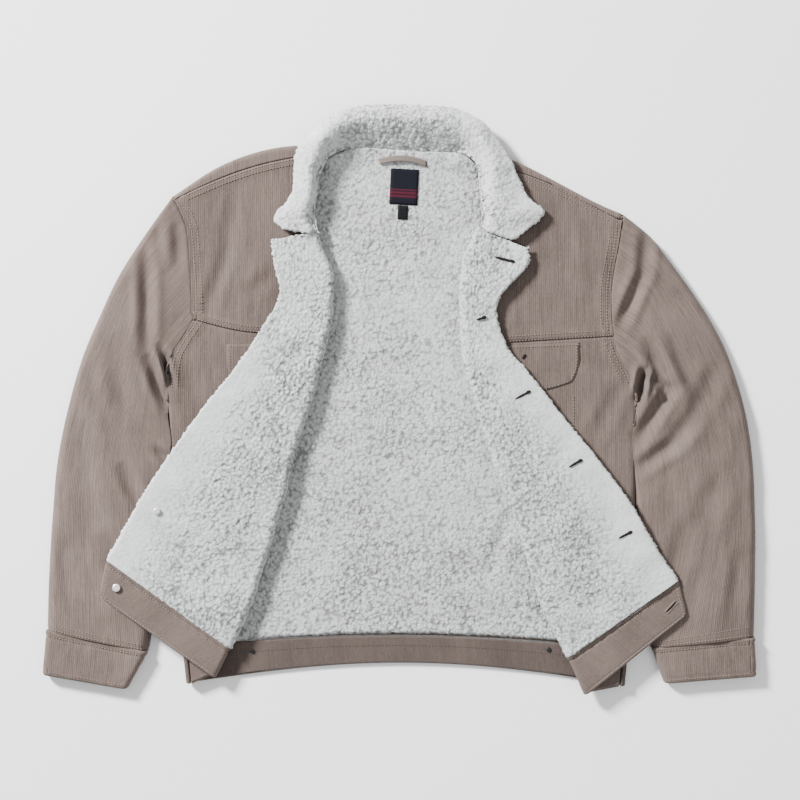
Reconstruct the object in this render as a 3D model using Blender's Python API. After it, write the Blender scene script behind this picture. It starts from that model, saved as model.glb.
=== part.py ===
"""A corduroy trucker jacket with a sherpa lining, lying on its back with both fronts turned outwards.

Every piece of cloth is a grid laid on a surface that is worked out from the cutting tables below, given
its wall by Solidify. +X is the wearer's left, +Y runs towards the collar and +Z is up from the floor.
"""
from collections import namedtuple
from math import cos, pi, radians, sin

import bmesh
import bpy
from mathutils import Vector

MM = 0.001

# Walls and levels, in millimetres.
SHELL = 1.5             # corduroy
PILE = 4.5              # sherpa lining
BAND = 4.0              # doubled corduroy of the waistband
BACK_BAND = 3.8
SLEEVE_WALL = 4.5       # corduroy with its quilted lining
SLEEVE_UNDER_WALL = 5.0
UNDER_INSET = 12.0      # the under sleeve lies inside the rounded edges of the top sleeve
SEAM = 0.3              # gap between two pieces that are sewn together
BODY_TOP = 13.0         # top of the closed body and of the sleeves
LOW = BODY_TOP - SHELL - SEAM / 2       # where front shell and front lining meet, under the roll
HIGH = 18.55            # the same, in the turned-out front
ROLL = (HIGH - LOW) / 2
BACK_LINING_LEVEL = SHELL + SEAM
POCKET_FLAP_LEVEL = BODY_TOP + SEAM
ARMHOLE_GAP = 1.05      # the wall of a sleeve leans a little where it meets the body
SHOULDER_GAP = 1.3      # the same at the shoulder seam
SIDE_ROUND = 5.0        # how far the side edge of the body rounds in
LAST = 14               # number of the last row of a front
ARMPIT, GORGE, YOKE, BAND_TOP = 8, 3, 6, 13

FrontRow = namedtuple("FrontRow", "side_x side_y fold_x fold_y edge_x edge_y bow")
SleeveRow = namedtuple("SleeveRow", "outer_x outer_y inner_x inner_y")
CollarRow = namedtuple("CollarRow", "seam_x seam_y seam_z ridge ridge_z edge_x edge_y edge_z")

# Rows of each front, from the shoulder seam down: armhole or side seam, neckline or roll, free edge.
FRONT = {
    -1: [
        FrontRow(-276, 247, -88, 298, -160, 240, 9),
        FrontRow(-261, 212, -101, 262, -160, 225, 0),
        FrontRow(-257, 172, -103, 228, -159, 210, 0),
        FrontRow(-255, 145, -95, 192, -157, 195, 0),
        FrontRow(-254, 122, -81, 155, -153, 165, 0),
        FrontRow(-254, 108, -81, 120, -147, 127, -6),
        FrontRow(-253, 97, -85, 88, -170, 85, -12),
        FrontRow(-280, 52, -95, 45, -200, 40, 0),
        FrontRow(-284, 0, -106, 0, -240, -10, 0),
        FrontRow(-283, -62, -124, -55, -274, -57, 0),
        FrontRow(-280, -125, -139, -115, -306, -104, 0),
        FrontRow(-275, -190, -158, -180, -331, -147, 0),
        FrontRow(-270, -250, -180, -250, -346, -175, 0),
        FrontRow(-266, -300, -204, -304, -357, -195, 0),
        FrontRow(-261, -347, -222, -340, -366, -240, 0),
    ],
    1: [
        FrontRow(272, 220, 95, 290, 176, 225, 8),
        FrontRow(268, 190, 97, 262, 172, 210, 0),
        FrontRow(262, 158, 98, 228, 165, 197, 0),
        FrontRow(259, 135, 89, 200, 158, 184, 0),
        FrontRow(259, 118, 77, 172, 156, 163, 0),
        FrontRow(259, 104, 74, 120, 120, 118, 0),
        FrontRow(262, 77, 76, 66, 131, 66, 0),
        FrontRow(271, 50, 82, 27, 157, 35, 0),
        FrontRow(290, 4, 97, -20, 203, -24, 0),
        FrontRow(290, -60, 112, -70, 243, -73, 0),
        FrontRow(289, -125, 134, -130, 284, -128, 0),
        FrontRow(286, -190, 154, -190, 310, -174, 0),
        FrontRow(283, -250, 172, -250, 326, -199, 0),
        FrontRow(280, -305, 203, -315, 340, -220, 0),
        FrontRow(276, -350, 223, -361, 351, -262, 0),
    ],
}
BACK_BOW = {YOKE: 0, BAND_TOP: 14, LAST: 26}

# Rows of each sleeve below its armhole row.
SLEEVE = {
    -1: [
        SleeveRow(-312, 203, -287.5, -22),
        SleeveRow(-344, 153, -288.5, -48),
        SleeveRow(-366, 107, -289.5, -76),
        SleeveRow(-388, 55, -291, -106),
        SleeveRow(-405, -3, -292, -140),
        SleeveRow(-419, -70, -296, -176),
        SleeveRow(-426, -146, -300, -216),
        SleeveRow(-430, -212, -305, -262),
        SleeveRow(-432, -282, -309, -307.5),
    ],
    1: [
        SleeveRow(306, 202, 293, -20),
        SleeveRow(334, 167, 294.5, -46),
        SleeveRow(363, 127, 295.5, -74),
        SleeveRow(386, 90, 297, -104),
        SleeveRow(405, 50, 298, -138),
        SleeveRow(424, -12, 300, -175),
        SleeveRow(434, -80, 303, -216),
        SleeveRow(437, -180, 306, -260),
        SleeveRow(435, -291, 309, -303),
    ],
}
SHOULDER_TIP = {-1: (-280.0, 249), 1: (277.5, 226)}
CUFF = {
    -1: [SleeveRow(-432.3, -282.8, -309, -309.3), SleeveRow(-437, -336, -333, -354)],
    1: [SleeveRow(435, -291.8, 309, -304.4), SleeveRow(437, -338, 324, -347)],
}

# Outline of the back above its yoke seam: the two shoulders, with the neckline between them.
SHOULDER = {
    -1: [(-276, 250), (-226, 283), (-180, 302), (-135, 311), (-92, 310)],
    1: [(100, 303), (133, 296), (168, 280), (238, 243), (272, 228)],
}
NECKLINE = [(-86, 290), (-66, 302), (-40, 304), (-10, 301.5), (25, 299), (60, 298.5), (78, 296), (92, 284)]

# Sections of the collar from the wearer's right point, round the neck, to the left one.
COLLAR = [
    CollarRow(-98, 201, 17.5, 0.30, 23, -140, 208, 18),
    CollarRow(-103, 228, 16, 0.30, 25, -153, 222, 18),
    CollarRow(-101, 246, 16, 0.35, 26, -131, 251, 18),
    CollarRow(-98, 268, 16, 0.40, 27, -126, 301, 18),
    CollarRow(-90, 288, 15.5, 0.50, 28, -113, 319, 17),
    CollarRow(-84, 298, 14, 0.60, 28, -88, 344, 15),
    CollarRow(-64, 306, 6, 0.68, 27, -64, 353, 14),
    CollarRow(-40, 304.5, 2.1, 0.70, 27, -38, 357, 14),
    CollarRow(-10, 302, 2.1, 0.70, 27, -8, 358, 14),
    CollarRow(25, 299.5, 2.1, 0.70, 27, 28, 357, 14),
    CollarRow(60, 299, 2.1, 0.70, 27, 66, 355, 14),
    CollarRow(78, 300, 6, 0.68, 27, 88, 345, 14),
    CollarRow(92, 291, 14, 0.60, 28, 107, 333, 15),
    CollarRow(96, 276, 15.5, 0.50, 28, 133, 295, 17),
    CollarRow(97, 258, 16, 0.40, 27, 146, 268, 18),
    CollarRow(99, 240, 16, 0.35, 26, 158, 245, 18),
    CollarRow(100, 222, 16, 0.30, 25, 176, 226, 18),
    CollarRow(100, 207, 17.5, 0.30, 23, 137, 194, 18),
]
COLLAR_FOOT = 6.0       # flat strip of the collar next to its seam

# Small pieces.
POCKET_WIDTH, POCKET_DEPTH, POCKET_POINT = 104.0, 58.0, 10.0
POCKET_CENTRE = {-1: (-159, 68), 1: (168, 68)}
BUTTON_DIAMETER, BUTTON_HEIGHT = 17.0, 3.0
TACK_DIAMETER, TACK_HEIGHT = 9.5, 1.6
TAB_TACK_DIAMETER, TAB_TACK_HEIGHT = 5.5, 1.2
BUTTON_ROWS = [3.6, 5.4, 7.95, 9.2, 10.8, 13.6]     # rows of a front, as fractions
BUTTON_INSET = 17.0
TACKS_THAT_SHOW = {5: (-295, -135), 6: (-344.5, -228.5)}
TAB_TACKS = {"right": (-180, -308), "left": (183, -306)}
LABEL_CENTRE, LABEL_SIZE = (5.7, 261), (34.5, 44)
SIZE_TAB_CENTRE, SIZE_TAB_SIZE = (4.2, 229.5), (12.6, 17)
LABEL_WALL, LABEL_TILT = 0.8, 3.0
LOOP_ENDS, LOOP_WIDTH, LOOP_WALL, LOOP_ARCH = ((-24, 292), (33, 289)), 7.0, 1.4, 4.0

WEARER = {-1: "right", 1: "left"}


def material(name, colour, roughness, metallic=0.0):
    made = bpy.data.materials.new(name)
    made.use_nodes = True
    shader = made.node_tree.nodes["Principled BSDF"]
    shader.inputs["Base Color"].default_value = (*colour, 1)
    shader.inputs["Roughness"].default_value = roughness
    shader.inputs["Metallic"].default_value = metallic
    return made


def spline(points, t):
    """The point at t on a smooth curve through points, which are tuples one unit of t apart."""
    last = len(points) - 1
    i = max(0, min(int(t), last - 1))
    f = t - i
    before, here = points[max(i - 1, 0)], points[i]
    after, beyond = points[i + 1], points[min(i + 2, last)]
    return tuple(
        b + 0.5 * f * (c - a + f * (2 * a - 5 * b + 4 * c - d + f * (3 * (b - c) + d - a)))
        for a, b, c, d in zip(before, here, after, beyond)
    )


def lerp(a, b, t):
    return a + (b - a) * t


def smooth(t):
    t = max(0.0, min(1.0, t))
    return t * t * (3 - 2 * t)


def cloth(name, across, along, place, wall, side, finish, shift=0.0, keep=None, weld=False):
    """A grid whose vertices lie at place(across, along), with its wall on one side (1 = its normals')."""
    bm = bmesh.new()
    cells_x, cells_y = len(across) - 1, len(along) - 1
    bmesh.ops.create_grid(bm, x_segments=cells_x, y_segments=cells_y, size=0.5)
    dropped = []
    if keep:
        for face in bm.faces:
            middle = face.calc_center_median()
            column, row = int((middle.x + 0.5) * cells_x), int((middle.y + 0.5) * cells_y)
            if not keep(column, row):
                dropped.append(face)
    for vert in bm.verts:
        column, row = round((vert.co.x + 0.5) * cells_x), round((vert.co.y + 0.5) * cells_y)
        vert.co = Vector(place(across[column], along[row])) * MM
    bmesh.ops.delete(bm, geom=dropped, context="FACES")
    if weld:
        bmesh.ops.remove_doubles(bm, verts=bm.verts, dist=0.00001)
    bmesh.ops.triangulate(bm, faces=bm.faces, quad_method="SHORT_EDGE")
    bm.normal_update()
    for vert, normal in [(v, v.normal.copy()) for v in bm.verts]:
        vert.co += normal * shift * side * MM
    piece = finish_object(name, bm, finish)
    walls = piece.modifiers.new("Wall", "SOLIDIFY")
    walls.thickness = wall * MM
    walls.offset = side
    walls.use_even_offset = True
    return piece


def finish_object(name, bm, finish):
    mesh = bpy.data.meshes.new(name)
    bm.to_mesh(mesh)
    bm.free()
    mesh.materials.append(finish)
    mesh.shade_smooth()
    mesh.set_sharp_from_angle(angle=radians(40))
    piece = bpy.data.objects.new(name, mesh)
    bpy.context.collection.objects.link(piece)
    return piece


def disc(name, centre, diameter, height, finish, rounded=0.5):
    """A low round head standing on centre."""
    bm = bmesh.new()
    bmesh.ops.create_cone(bm, cap_ends=True, segments=20, radius1=diameter / 2 * MM,
                          radius2=diameter / 2 * MM, depth=height * MM)
    bmesh.ops.translate(bm, verts=bm.verts, vec=Vector((*centre[:2], centre[2] + height / 2)) * MM)
    top = [e for e in bm.edges if all(v.co.z > (centre[2] + height * 0.9) * MM for v in e.verts)]
    bmesh.ops.bevel(bm, geom=top, offset=rounded * MM, affect="EDGES", segments=1, profile=0.5, material=-1)
    return finish_object(name, bm, finish)


def front_row(side, r):
    return FrontRow(*spline(FRONT[side], r))


def fold_frame(side, r):
    """The axis of the roll at a row, and the level direction from it towards the jacket's middle."""
    above, below = front_row(side, max(r - 0.1, 0)), front_row(side, min(r + 0.1, LAST))
    run = Vector((below.fold_x - above.fold_x, below.fold_y - above.fold_y)).normalized()
    inward = Vector((-run.y, run.x))
    if inward.x * side > 0:
        inward = -inward
    row = front_row(side, r)
    return Vector((row.fold_x, row.fold_y)) - inward * (PILE + SEAM / 2 + ROLL), inward


def front_place(side):
    def place(column, r):
        part, t = column
        row = front_row(side, r)
        axis, inward = fold_frame(side, r)
        seam = Vector((row.side_x, row.side_y))
        curl = smooth((r - ARMPIT) / 0.4)
        if part == "side":
            turn = t * pi / 2
            inset = (SHELL + SEAM / 2) * curl + SIDE_ROUND * lerp(t, 1 - cos(turn), curl)
            level = lerp(LOW, lerp(2.0, LOW, sin(turn)), curl)
            return seam.x - side * inset, seam.y, level
        if part == "lower":
            start = Vector((seam.x - side * (SIDE_ROUND + 1.65 * curl), seam.y))
            point = start.lerp(axis, t)
            return point.x, point.y + row.bow * sin(pi * t), LOW
        if part == "roll":
            turn = radians(t)
            point = axis + inward * ROLL * cos(turn)
            return point.x, point.y, LOW + ROLL + ROLL * sin(turn)
        point = axis.lerp(Vector((row.edge_x, row.edge_y)), t)
        return point.x, point.y, HIGH
    return place


SIDE_COLUMNS = [("side", 0.0), ("side", 0.5), ("side", 1.0)]
LINING_START = ("lower", 0.03)
LEG_COLUMNS = [("lower", 0.25), ("lower", 0.5), ("lower", 0.75), ("lower", 1.0)]
ROLL_COLUMNS = [("roll", angle) for angle in (-45, 0, 45, 90)]
EDGE_COLUMNS = [("upper", t) for t in (0.25, 0.5, 0.75, 1.0)]


def front_pieces(side, corduroy, sherpa):
    place = front_place(side)
    rim = SEAM / 2
    columns = SIDE_COLUMNS + LEG_COLUMNS + ROLL_COLUMNS + EDGE_COLUMNS
    inner = [LINING_START] + columns[3:]

    def below_gorge(across, along):
        """Above the gorge a front ends at its neckline: it has no roll there."""
        first_roll = across.index(("lower", 1.0))
        return lambda column, row: column < first_roll or along[row] >= GORGE

    out = -side          # the shell's side of the grid
    yoke_rows = [0, 1, 2, 3, 3.5, 4, 4.5, 5, YOKE - rim / 35]
    panel_rows = [YOKE + rim / 40, 7, ARMPIT, 8.4, 9, 10, 11, 12, BAND_TOP - rim / 45]
    band_rows = [BAND_TOP + rim / 45, 13.5, LAST]
    hand = WEARER[side]
    cloth(f"front_yoke_{hand}", columns, yoke_rows, place, SHELL, -out, corduroy, rim,
          below_gorge(columns, yoke_rows))
    cloth(f"front_panel_{hand}", columns, panel_rows, place, SHELL, -out, corduroy, rim)
    lining_rows = [0, 1, 2, 3, 3.5, 4, 4.5, 5, 6, 7, 8, 9, 10, 11, 12, BAND_TOP - rim / 45]
    cloth(f"front_lining_{hand}", inner, lining_rows, place, PILE, out, sherpa, rim,
          below_gorge(inner, lining_rows))
    cloth(f"front_hem_band_{hand}", inner, band_rows, place, BAND, out, corduroy, -(SHELL + rim))


def back_flat(u, r):
    """A point of the back at row r, at u from the wearer's right side to the left."""
    right, left = front_row(-1, r), front_row(1, r)
    bow = spline([(BACK_BOW[YOKE],), (BACK_BOW[BAND_TOP],)], (r - YOKE) / (BAND_TOP - YOKE))[0]
    if r > BAND_TOP:
        bow = lerp(BACK_BOW[BAND_TOP], BACK_BOW[LAST], r - BAND_TOP)
    x = lerp(right.side_x, left.side_x, u)
    return x, lerp(right.side_y, left.side_y, u) + bow * sin(pi * u)


BACK_TOP = SHOULDER[-1] + NECKLINE + SHOULDER[1]


def back_yoke_flat(index, r):
    """A point of the back yoke under the top point of that number, r running from 0 to YOKE."""
    x, y = BACK_TOP[index]
    u = (x - BACK_TOP[0][0]) / (BACK_TOP[-1][0] - BACK_TOP[0][0])
    v = r / YOKE
    low_x, low_y = back_flat(u, YOKE)
    point_x, point_y = lerp(x, low_x, v), lerp(y, low_y, v)
    for side, weight in ((-1, 1 - u), (1, u)):
        row = front_row(side, r)
        corner = BACK_TOP[0] if side < 0 else BACK_TOP[-1]
        straight_x = lerp(corner[0], front_row(side, YOKE).side_x, v)
        point_x += weight ** 4 * (row.side_x - straight_x) * smooth(v * 4)
    return point_x, point_y


def back_yoke_place(index, r):
    """The yoke's outer face: flat on the floor, round the shoulders and on to the shoulder seam."""
    x, y = back_yoke_flat(index, max(r, 0))
    if r >= 0:
        on_shoulder = index < len(SHOULDER[-1]) or index >= len(BACK_TOP) - len(SHOULDER[1])
        inset = BODY_TOP / 2 * (1 - smooth(r)) if on_shoulder else 0
        return x, y - inset, 0
    side = -1 if index < len(SHOULDER[-1]) else 1
    if r == -3:
        steps = len(SHOULDER[side]) - 1
        t = (index if side < 0 else len(BACK_TOP) - 1 - index) / steps
        seam_x, seam_y, level = front_place(side)(("lower", t), 0)
        return seam_x, seam_y + SHOULDER_GAP, BODY_TOP
    if r == -2:
        return x, y - 2.0, BODY_TOP - 1.8
    return x, y, BODY_TOP / 2


def back_pieces(corduroy, sherpa):
    count = len(BACK_TOP)
    shoulder = len(SHOULDER[-1])
    yoke_rows = [-3, -2, -1, 0, 1, 2.5, 4, YOKE - 0.005]

    def keep(column, row):
        return row >= 3 or column < shoulder - 1 or column >= count - shoulder
    cloth("back_yoke", range(count), yoke_rows, back_yoke_place, SHELL, -1, corduroy, 0, keep)
    across = [i / 8 for i in range(9)]

    cloth("back_panel", across, [YOKE + 0.005, 7, ARMPIT, 9, 10.5, 12, BAND_TOP - 0.01],
          lambda u, r: (*back_flat(u, r), 0), SHELL, -1, corduroy)

    def lining(index_or_u, r):
        margin = 12.0 / 560
        if r < YOKE:
            x, y = BACK_TOP[index_or_u]
            if index_or_u < shoulder or index_or_u >= count - shoulder:
                y -= 12
            x *= 1 - 2 * margin if abs(x) > 100 else 1
            low_x, low_y = back_flat(0.5, YOKE)
            v = r / YOKE
            reach = lerp(1, 0.94, smooth(v * 1.5)) if abs(x) > 200 else 1
            return x * reach, lerp(y, low_y, v), BACK_LINING_LEVEL
        x = BACK_TOP[index_or_u][0] * (1 - 2 * margin) * (0.94 if r == YOKE else 1)
        u = (BACK_TOP[index_or_u][0] - BACK_TOP[0][0]) / (BACK_TOP[-1][0] - BACK_TOP[0][0])
        u = lerp(margin, 1 - margin, u)
        x, y = back_flat(u, r)
        if r == YOKE:
            x *= 0.97
        return x, y, BACK_LINING_LEVEL
    cloth("back_lining", range(count), [0, 1.5, 3, YOKE, ARMPIT, 10, BAND_TOP + 0.02], lining, PILE, -1, sherpa)

    def band(column, r):
        part, t = column
        if part == "flat":
            x, y = back_flat(t, r)
            return x, y, 0
        end = 0.0 if part == "right" else 1.0
        x, y = back_flat(end, r)
        sign = 1 if part == "right" else -1
        turn = radians(t)
        rounding = BODY_TOP / 2
        return x + sign * (rounding - rounding * cos(turn)), y, rounding + rounding * sin(turn)
    edge = 6.5 / 545
    columns = [("right", a) for a in (80, 45, 0, -45)]
    columns += [("flat", lerp(edge * 1.6, 1 - edge * 1.6, i / 10)) for i in range(11)]
    columns += [("left", a) for a in (-45, 0, 45, 80)]
    cloth("back_hem_band", columns, [BAND_TOP + 0.05, 13.5, LAST], band, BACK_BAND, -1, corduroy)


def armhole_share(side, u):
    """How much of the armhole's length lies above u, which counts its rows from 0 to 1."""
    corners = [Vector((row.side_x, row.side_y)) for row in FRONT[side][:ARMPIT + 1]]
    lengths = [(b - a).length for a, b in zip(corners, corners[1:])]
    r = min(int(ARMPIT * u), ARMPIT - 1)
    return (sum(lengths[:r]) + lengths[r] * (ARMPIT * u - r)) / sum(lengths)


def sleeve_point(side, u, k, gap):
    """A point of the flat sleeve: u runs from its outer edge to its inner edge, k down its length."""
    def row_point(number):
        if number == 0:
            r = min(int(ARMPIT * u), ARMPIT - 1)
            above, below = FRONT[side][r], FRONT[side][r + 1]
            x = lerp(above.side_x, below.side_x, ARMPIT * u - r) + side * gap
            y = lerp(above.side_y, below.side_y, ARMPIT * u - r)
            tip_x, tip_y = SHOULDER_TIP[side]
            near = smooth(1 - u * ARMPIT)
            return lerp(x, tip_x, near), lerp(y, tip_y, near)
        row = SLEEVE[side][number - 1]
        share = armhole_share(side, u)
        return lerp(row.outer_x, row.inner_x, share), lerp(row.outer_y, row.inner_y, share)
    return Vector(spline([row_point(n) for n in range(len(SLEEVE[side]) + 1)], k))


EDGE_TURNS = [(3.0, 0.4), (0.0, 6.5), (4.0, 11.6), (13.0, BODY_TOP)]      # inset and level of the rounded edge


def sleeve_place(side, inset_of, gap):
    def place(column, k):
        u, inset, level = inset_of(column, k)
        width = (sleeve_point(side, 1, k, gap) - sleeve_point(side, 0, k, gap)).length
        u = u + inset / width if u < 0.5 else u - inset / width
        point = sleeve_point(side, u, k, gap)
        return point.x, point.y, level
    return place


def inner_round(k):
    """The inner edge of a sleeve rounds down to the floor only where it has left the body."""
    return smooth((k - 2.5) / 2.5)


def sleeve_pieces(side, corduroy):
    hand = WEARER[side]

    def top_columns(column, k):
        part, value = column
        if part == "middle":
            return value, 0, BODY_TOP
        inset, level = EDGE_TURNS[value]
        if part == "outer":
            return 0.0, inset, level
        rounding = inner_round(k)
        return 1.0, inset * rounding, lerp(BODY_TOP, level, rounding)
    columns = [("outer", i) for i in range(4)] + [("middle", r / ARMPIT) for r in range(1, ARMPIT)]
    columns += [("inner", i) for i in (3, 2, 1, 0)]
    rows = list(range(len(SLEEVE[side]) + 1))
    cloth(f"sleeve_top_{hand}", columns, rows, sleeve_place(side, top_columns, ARMHOLE_GAP),
          SLEEVE_WALL, -side, corduroy, weld=True)

    def under_columns(u, k):
        inset = UNDER_INSET * (smooth((k - 1.5) / 2) if u == 1 else 1)
        return u, (inset if u in (0, 1) else 0), 0
    cloth(f"sleeve_under_{hand}", [r / ARMPIT for r in range(ARMPIT + 1)], rows, sleeve_place(side, under_columns, 2 * ARMHOLE_GAP),
          SLEEVE_UNDER_WALL, side, corduroy)


def cuff_piece(side, corduroy):
    """A flattened ring, open at both ends."""
    def place(turn, k):
        row = CUFF[side][0] if k == 0 else CUFF[side][1]
        outer, inner = Vector((row.outer_x, row.outer_y)), Vector((row.inner_x, row.inner_y))
        width = (inner - outer).length
        rounding = BODY_TOP / 2
        run = (inner - outer) / width
        part, t = turn
        if part == "over" or part == "under":
            point = outer + run * lerp(rounding, width - rounding, t)
            return point.x, point.y, (BODY_TOP if part == "over" else 0)
        angle = radians(t)
        centre = outer + run * rounding if part == "outer" else inner - run * rounding
        point = centre + run * rounding * sin(angle)
        return point.x, point.y, rounding + rounding * cos(angle)
    ring = [("over", t) for t in (0, 0.25, 0.5, 0.75, 1)] + [("inner", a) for a in (45, 90, 135)]
    ring += [("under", t) for t in (1, 0.75, 0.5, 0.25, 0)] + [("outer", a) for a in (225, 270, 315)]
    ring += [("over", 0)]
    cloth(f"cuff_{WEARER[side]}", ring, [0, 1], place, SLEEVE_WALL, -side, corduroy, weld=True)


def collar_place(t, k):
    row = CollarRow(*spline(COLLAR, k))
    seam = Vector((row.seam_x, row.seam_y, row.seam_z))
    edge = Vector((row.edge_x, row.edge_y, row.edge_z))
    run = (edge - seam).normalized()
    foot = seam + Vector((run.x, run.y, 0)) * COLLAR_FOOT
    ridge = seam.lerp(edge, row.ridge)
    ridge.z = row.ridge_z
    return spline([tuple(seam), tuple(foot), tuple(ridge), tuple(edge)], t)


def collar_pieces(corduroy, sherpa):
    across = [0, 1, 1.35, 1.7, 2, 2.35, 2.7, 3]
    rows = range(len(COLLAR))
    cloth("collar_under", across, rows, collar_place, SHELL, 1, corduroy, SEAM / 2)
    cloth("collar_facing", across, rows, collar_place, PILE, -1, sherpa, SEAM / 2)


def pocket_flap(side, corduroy):
    centre_x, top_y = POCKET_CENTRE[side]

    def place(u, v):
        shoulder_cut = 0.08 * POCKET_WIDTH * max(0.0, v - 0.45) ** 2 * 4 * (1 if u > 0.5 else -1)
        drop = POCKET_DEPTH - POCKET_POINT * abs(2 * u - 1) ** 1.5
        x = centre_x + (u - 0.5) * POCKET_WIDTH
        if u in (0, 1):
            x -= shoulder_cut
        return x, top_y - drop * v, POCKET_FLAP_LEVEL
    cloth(f"pocket_flap_{WEARER[side]}", [0, 0.15, 0.3, 0.5, 0.7, 0.85, 1], [1, 0.8, 0.5, 0], place,
          SHELL, 1, corduroy)


def small_pieces(metal, dark_metal, tape, woven):
    place = front_place(-1)
    for number, r in enumerate(BUTTON_ROWS, start=1):
        edge, inside = Vector(place(("upper", 1.0), r)), Vector(place(("upper", 0.5), r))
        centre = edge + (inside - edge).normalized() * BUTTON_INSET
        top = HIGH - SEAM / 2 - SHELL - SEAM
        disc(f"button_{number}", (centre.x, centre.y, top - BUTTON_HEIGHT), BUTTON_DIAMETER, BUTTON_HEIGHT,
             metal)
    levels = {5: HIGH + SEAM / 2 + PILE + SEAM, 6: HIGH - SEAM / 2 - SHELL + BAND + SEAM}
    for number, (x, y) in TACKS_THAT_SHOW.items():
        disc(f"tack_back_{number}", (x, y, levels[number]), TACK_DIAMETER, TACK_HEIGHT, metal)
    for hand, (x, y) in TAB_TACKS.items():
        disc(f"tab_tack_{hand}", (x, y, BACK_BAND + SEAM), TAB_TACK_DIAMETER, TAB_TACK_HEIGHT, dark_metal,
             0.3)
    lining_top = BACK_LINING_LEVEL + PILE + SEAM
    for name, centre, size in (("neck_label", LABEL_CENTRE, LABEL_SIZE),
                               ("size_tab", SIZE_TAB_CENTRE, SIZE_TAB_SIZE)):
        def flat(u, v, centre=centre, size=size):
            tilt = radians(-LABEL_TILT)
            x, y = (u - 0.5) * size[0], (v - 0.5) * size[1]
            return (centre[0] + x * cos(tilt) - y * sin(tilt), centre[1] + x * sin(tilt) + y * cos(tilt),
                    lining_top)
        cloth(name, [0, 0.5, 1], [0, 0.5, 1], flat, LABEL_WALL, 1, woven)

    def loop(u, v):
        (x0, y0), (x1, y1) = LOOP_ENDS
        arch = LOOP_ARCH * sin(pi * u)
        return lerp(x0, x1, u), lerp(y0, y1, u) + arch + (v - 0.5) * LOOP_WIDTH, lining_top
    cloth("hanger_loop", [i / 8 for i in range(9)], [0, 1], loop, LOOP_WALL, 1, tape)


def main():
    for old in list(bpy.data.objects):
        bpy.data.objects.remove(old, do_unlink=True)
    corduroy = material("corduroy", (0.28, 0.225, 0.19), 0.9)
    sherpa = material("sherpa", (0.62, 0.63, 0.62), 0.95)
    metal = material("button metal", (0.75, 0.73, 0.70), 0.35, 1.0)
    dark_metal = material("dark metal", (0.05, 0.05, 0.06), 0.45, 1.0)
    tape = material("tape", (0.25, 0.20, 0.17), 0.8)
    woven = material("woven label", (0.012, 0.013, 0.02), 0.75)
    back_pieces(corduroy, sherpa)
    for side in (-1, 1):
        front_pieces(side, corduroy, sherpa)
        sleeve_pieces(side, corduroy)
        cuff_piece(side, corduroy)
        pocket_flap(side, corduroy)
    collar_pieces(corduroy, sherpa)
    small_pieces(metal, dark_metal, tape, woven)


main()
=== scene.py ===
from collections import namedtuple
from functools import lru_cache
from math import cos, exp, pi, radians, sin, sqrt

import bmesh
import bpy
import numpy as np
from mathutils import Matrix, Vector, noise


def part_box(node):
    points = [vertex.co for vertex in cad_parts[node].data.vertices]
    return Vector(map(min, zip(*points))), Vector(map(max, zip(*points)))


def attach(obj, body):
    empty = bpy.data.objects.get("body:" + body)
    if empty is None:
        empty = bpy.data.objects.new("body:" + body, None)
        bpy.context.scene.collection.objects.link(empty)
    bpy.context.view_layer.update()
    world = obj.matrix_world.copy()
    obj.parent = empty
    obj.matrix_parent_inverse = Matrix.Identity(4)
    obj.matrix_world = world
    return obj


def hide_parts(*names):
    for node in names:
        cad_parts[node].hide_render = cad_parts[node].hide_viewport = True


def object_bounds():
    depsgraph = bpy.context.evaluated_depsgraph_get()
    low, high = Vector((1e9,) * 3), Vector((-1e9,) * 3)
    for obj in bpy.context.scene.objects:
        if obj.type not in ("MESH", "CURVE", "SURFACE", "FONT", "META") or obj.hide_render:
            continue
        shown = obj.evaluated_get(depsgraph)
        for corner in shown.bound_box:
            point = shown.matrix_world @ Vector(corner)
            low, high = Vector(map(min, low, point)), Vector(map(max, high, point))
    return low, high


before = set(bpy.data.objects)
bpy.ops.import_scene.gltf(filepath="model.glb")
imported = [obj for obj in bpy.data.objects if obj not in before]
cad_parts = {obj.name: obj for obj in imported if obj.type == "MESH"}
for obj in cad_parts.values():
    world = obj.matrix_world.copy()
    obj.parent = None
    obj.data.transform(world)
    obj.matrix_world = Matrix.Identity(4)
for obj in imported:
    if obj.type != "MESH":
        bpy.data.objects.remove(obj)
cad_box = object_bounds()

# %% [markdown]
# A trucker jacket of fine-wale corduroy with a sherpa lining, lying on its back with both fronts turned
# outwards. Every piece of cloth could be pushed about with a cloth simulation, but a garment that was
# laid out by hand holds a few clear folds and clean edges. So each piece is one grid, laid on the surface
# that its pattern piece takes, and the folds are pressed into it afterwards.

MM = 0.001
CAD_SIZE = [round(high - low, 4) for low, high in zip(*cad_box)]
print("The jacket measures", CAD_SIZE, "m")

# %% [markdown]
# The cutting tables. A front is described by rows from the shoulder seam down: where the row starts at the
# armhole or side seam, where it turns over at the roll, and where it ends at the free edge. A sleeve has
# a row every few centimetres, and the collar a section at each turn of its edge. These are the sizes of
# the construction, in millimetres, so that the cloth lies where its solids are.

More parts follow.
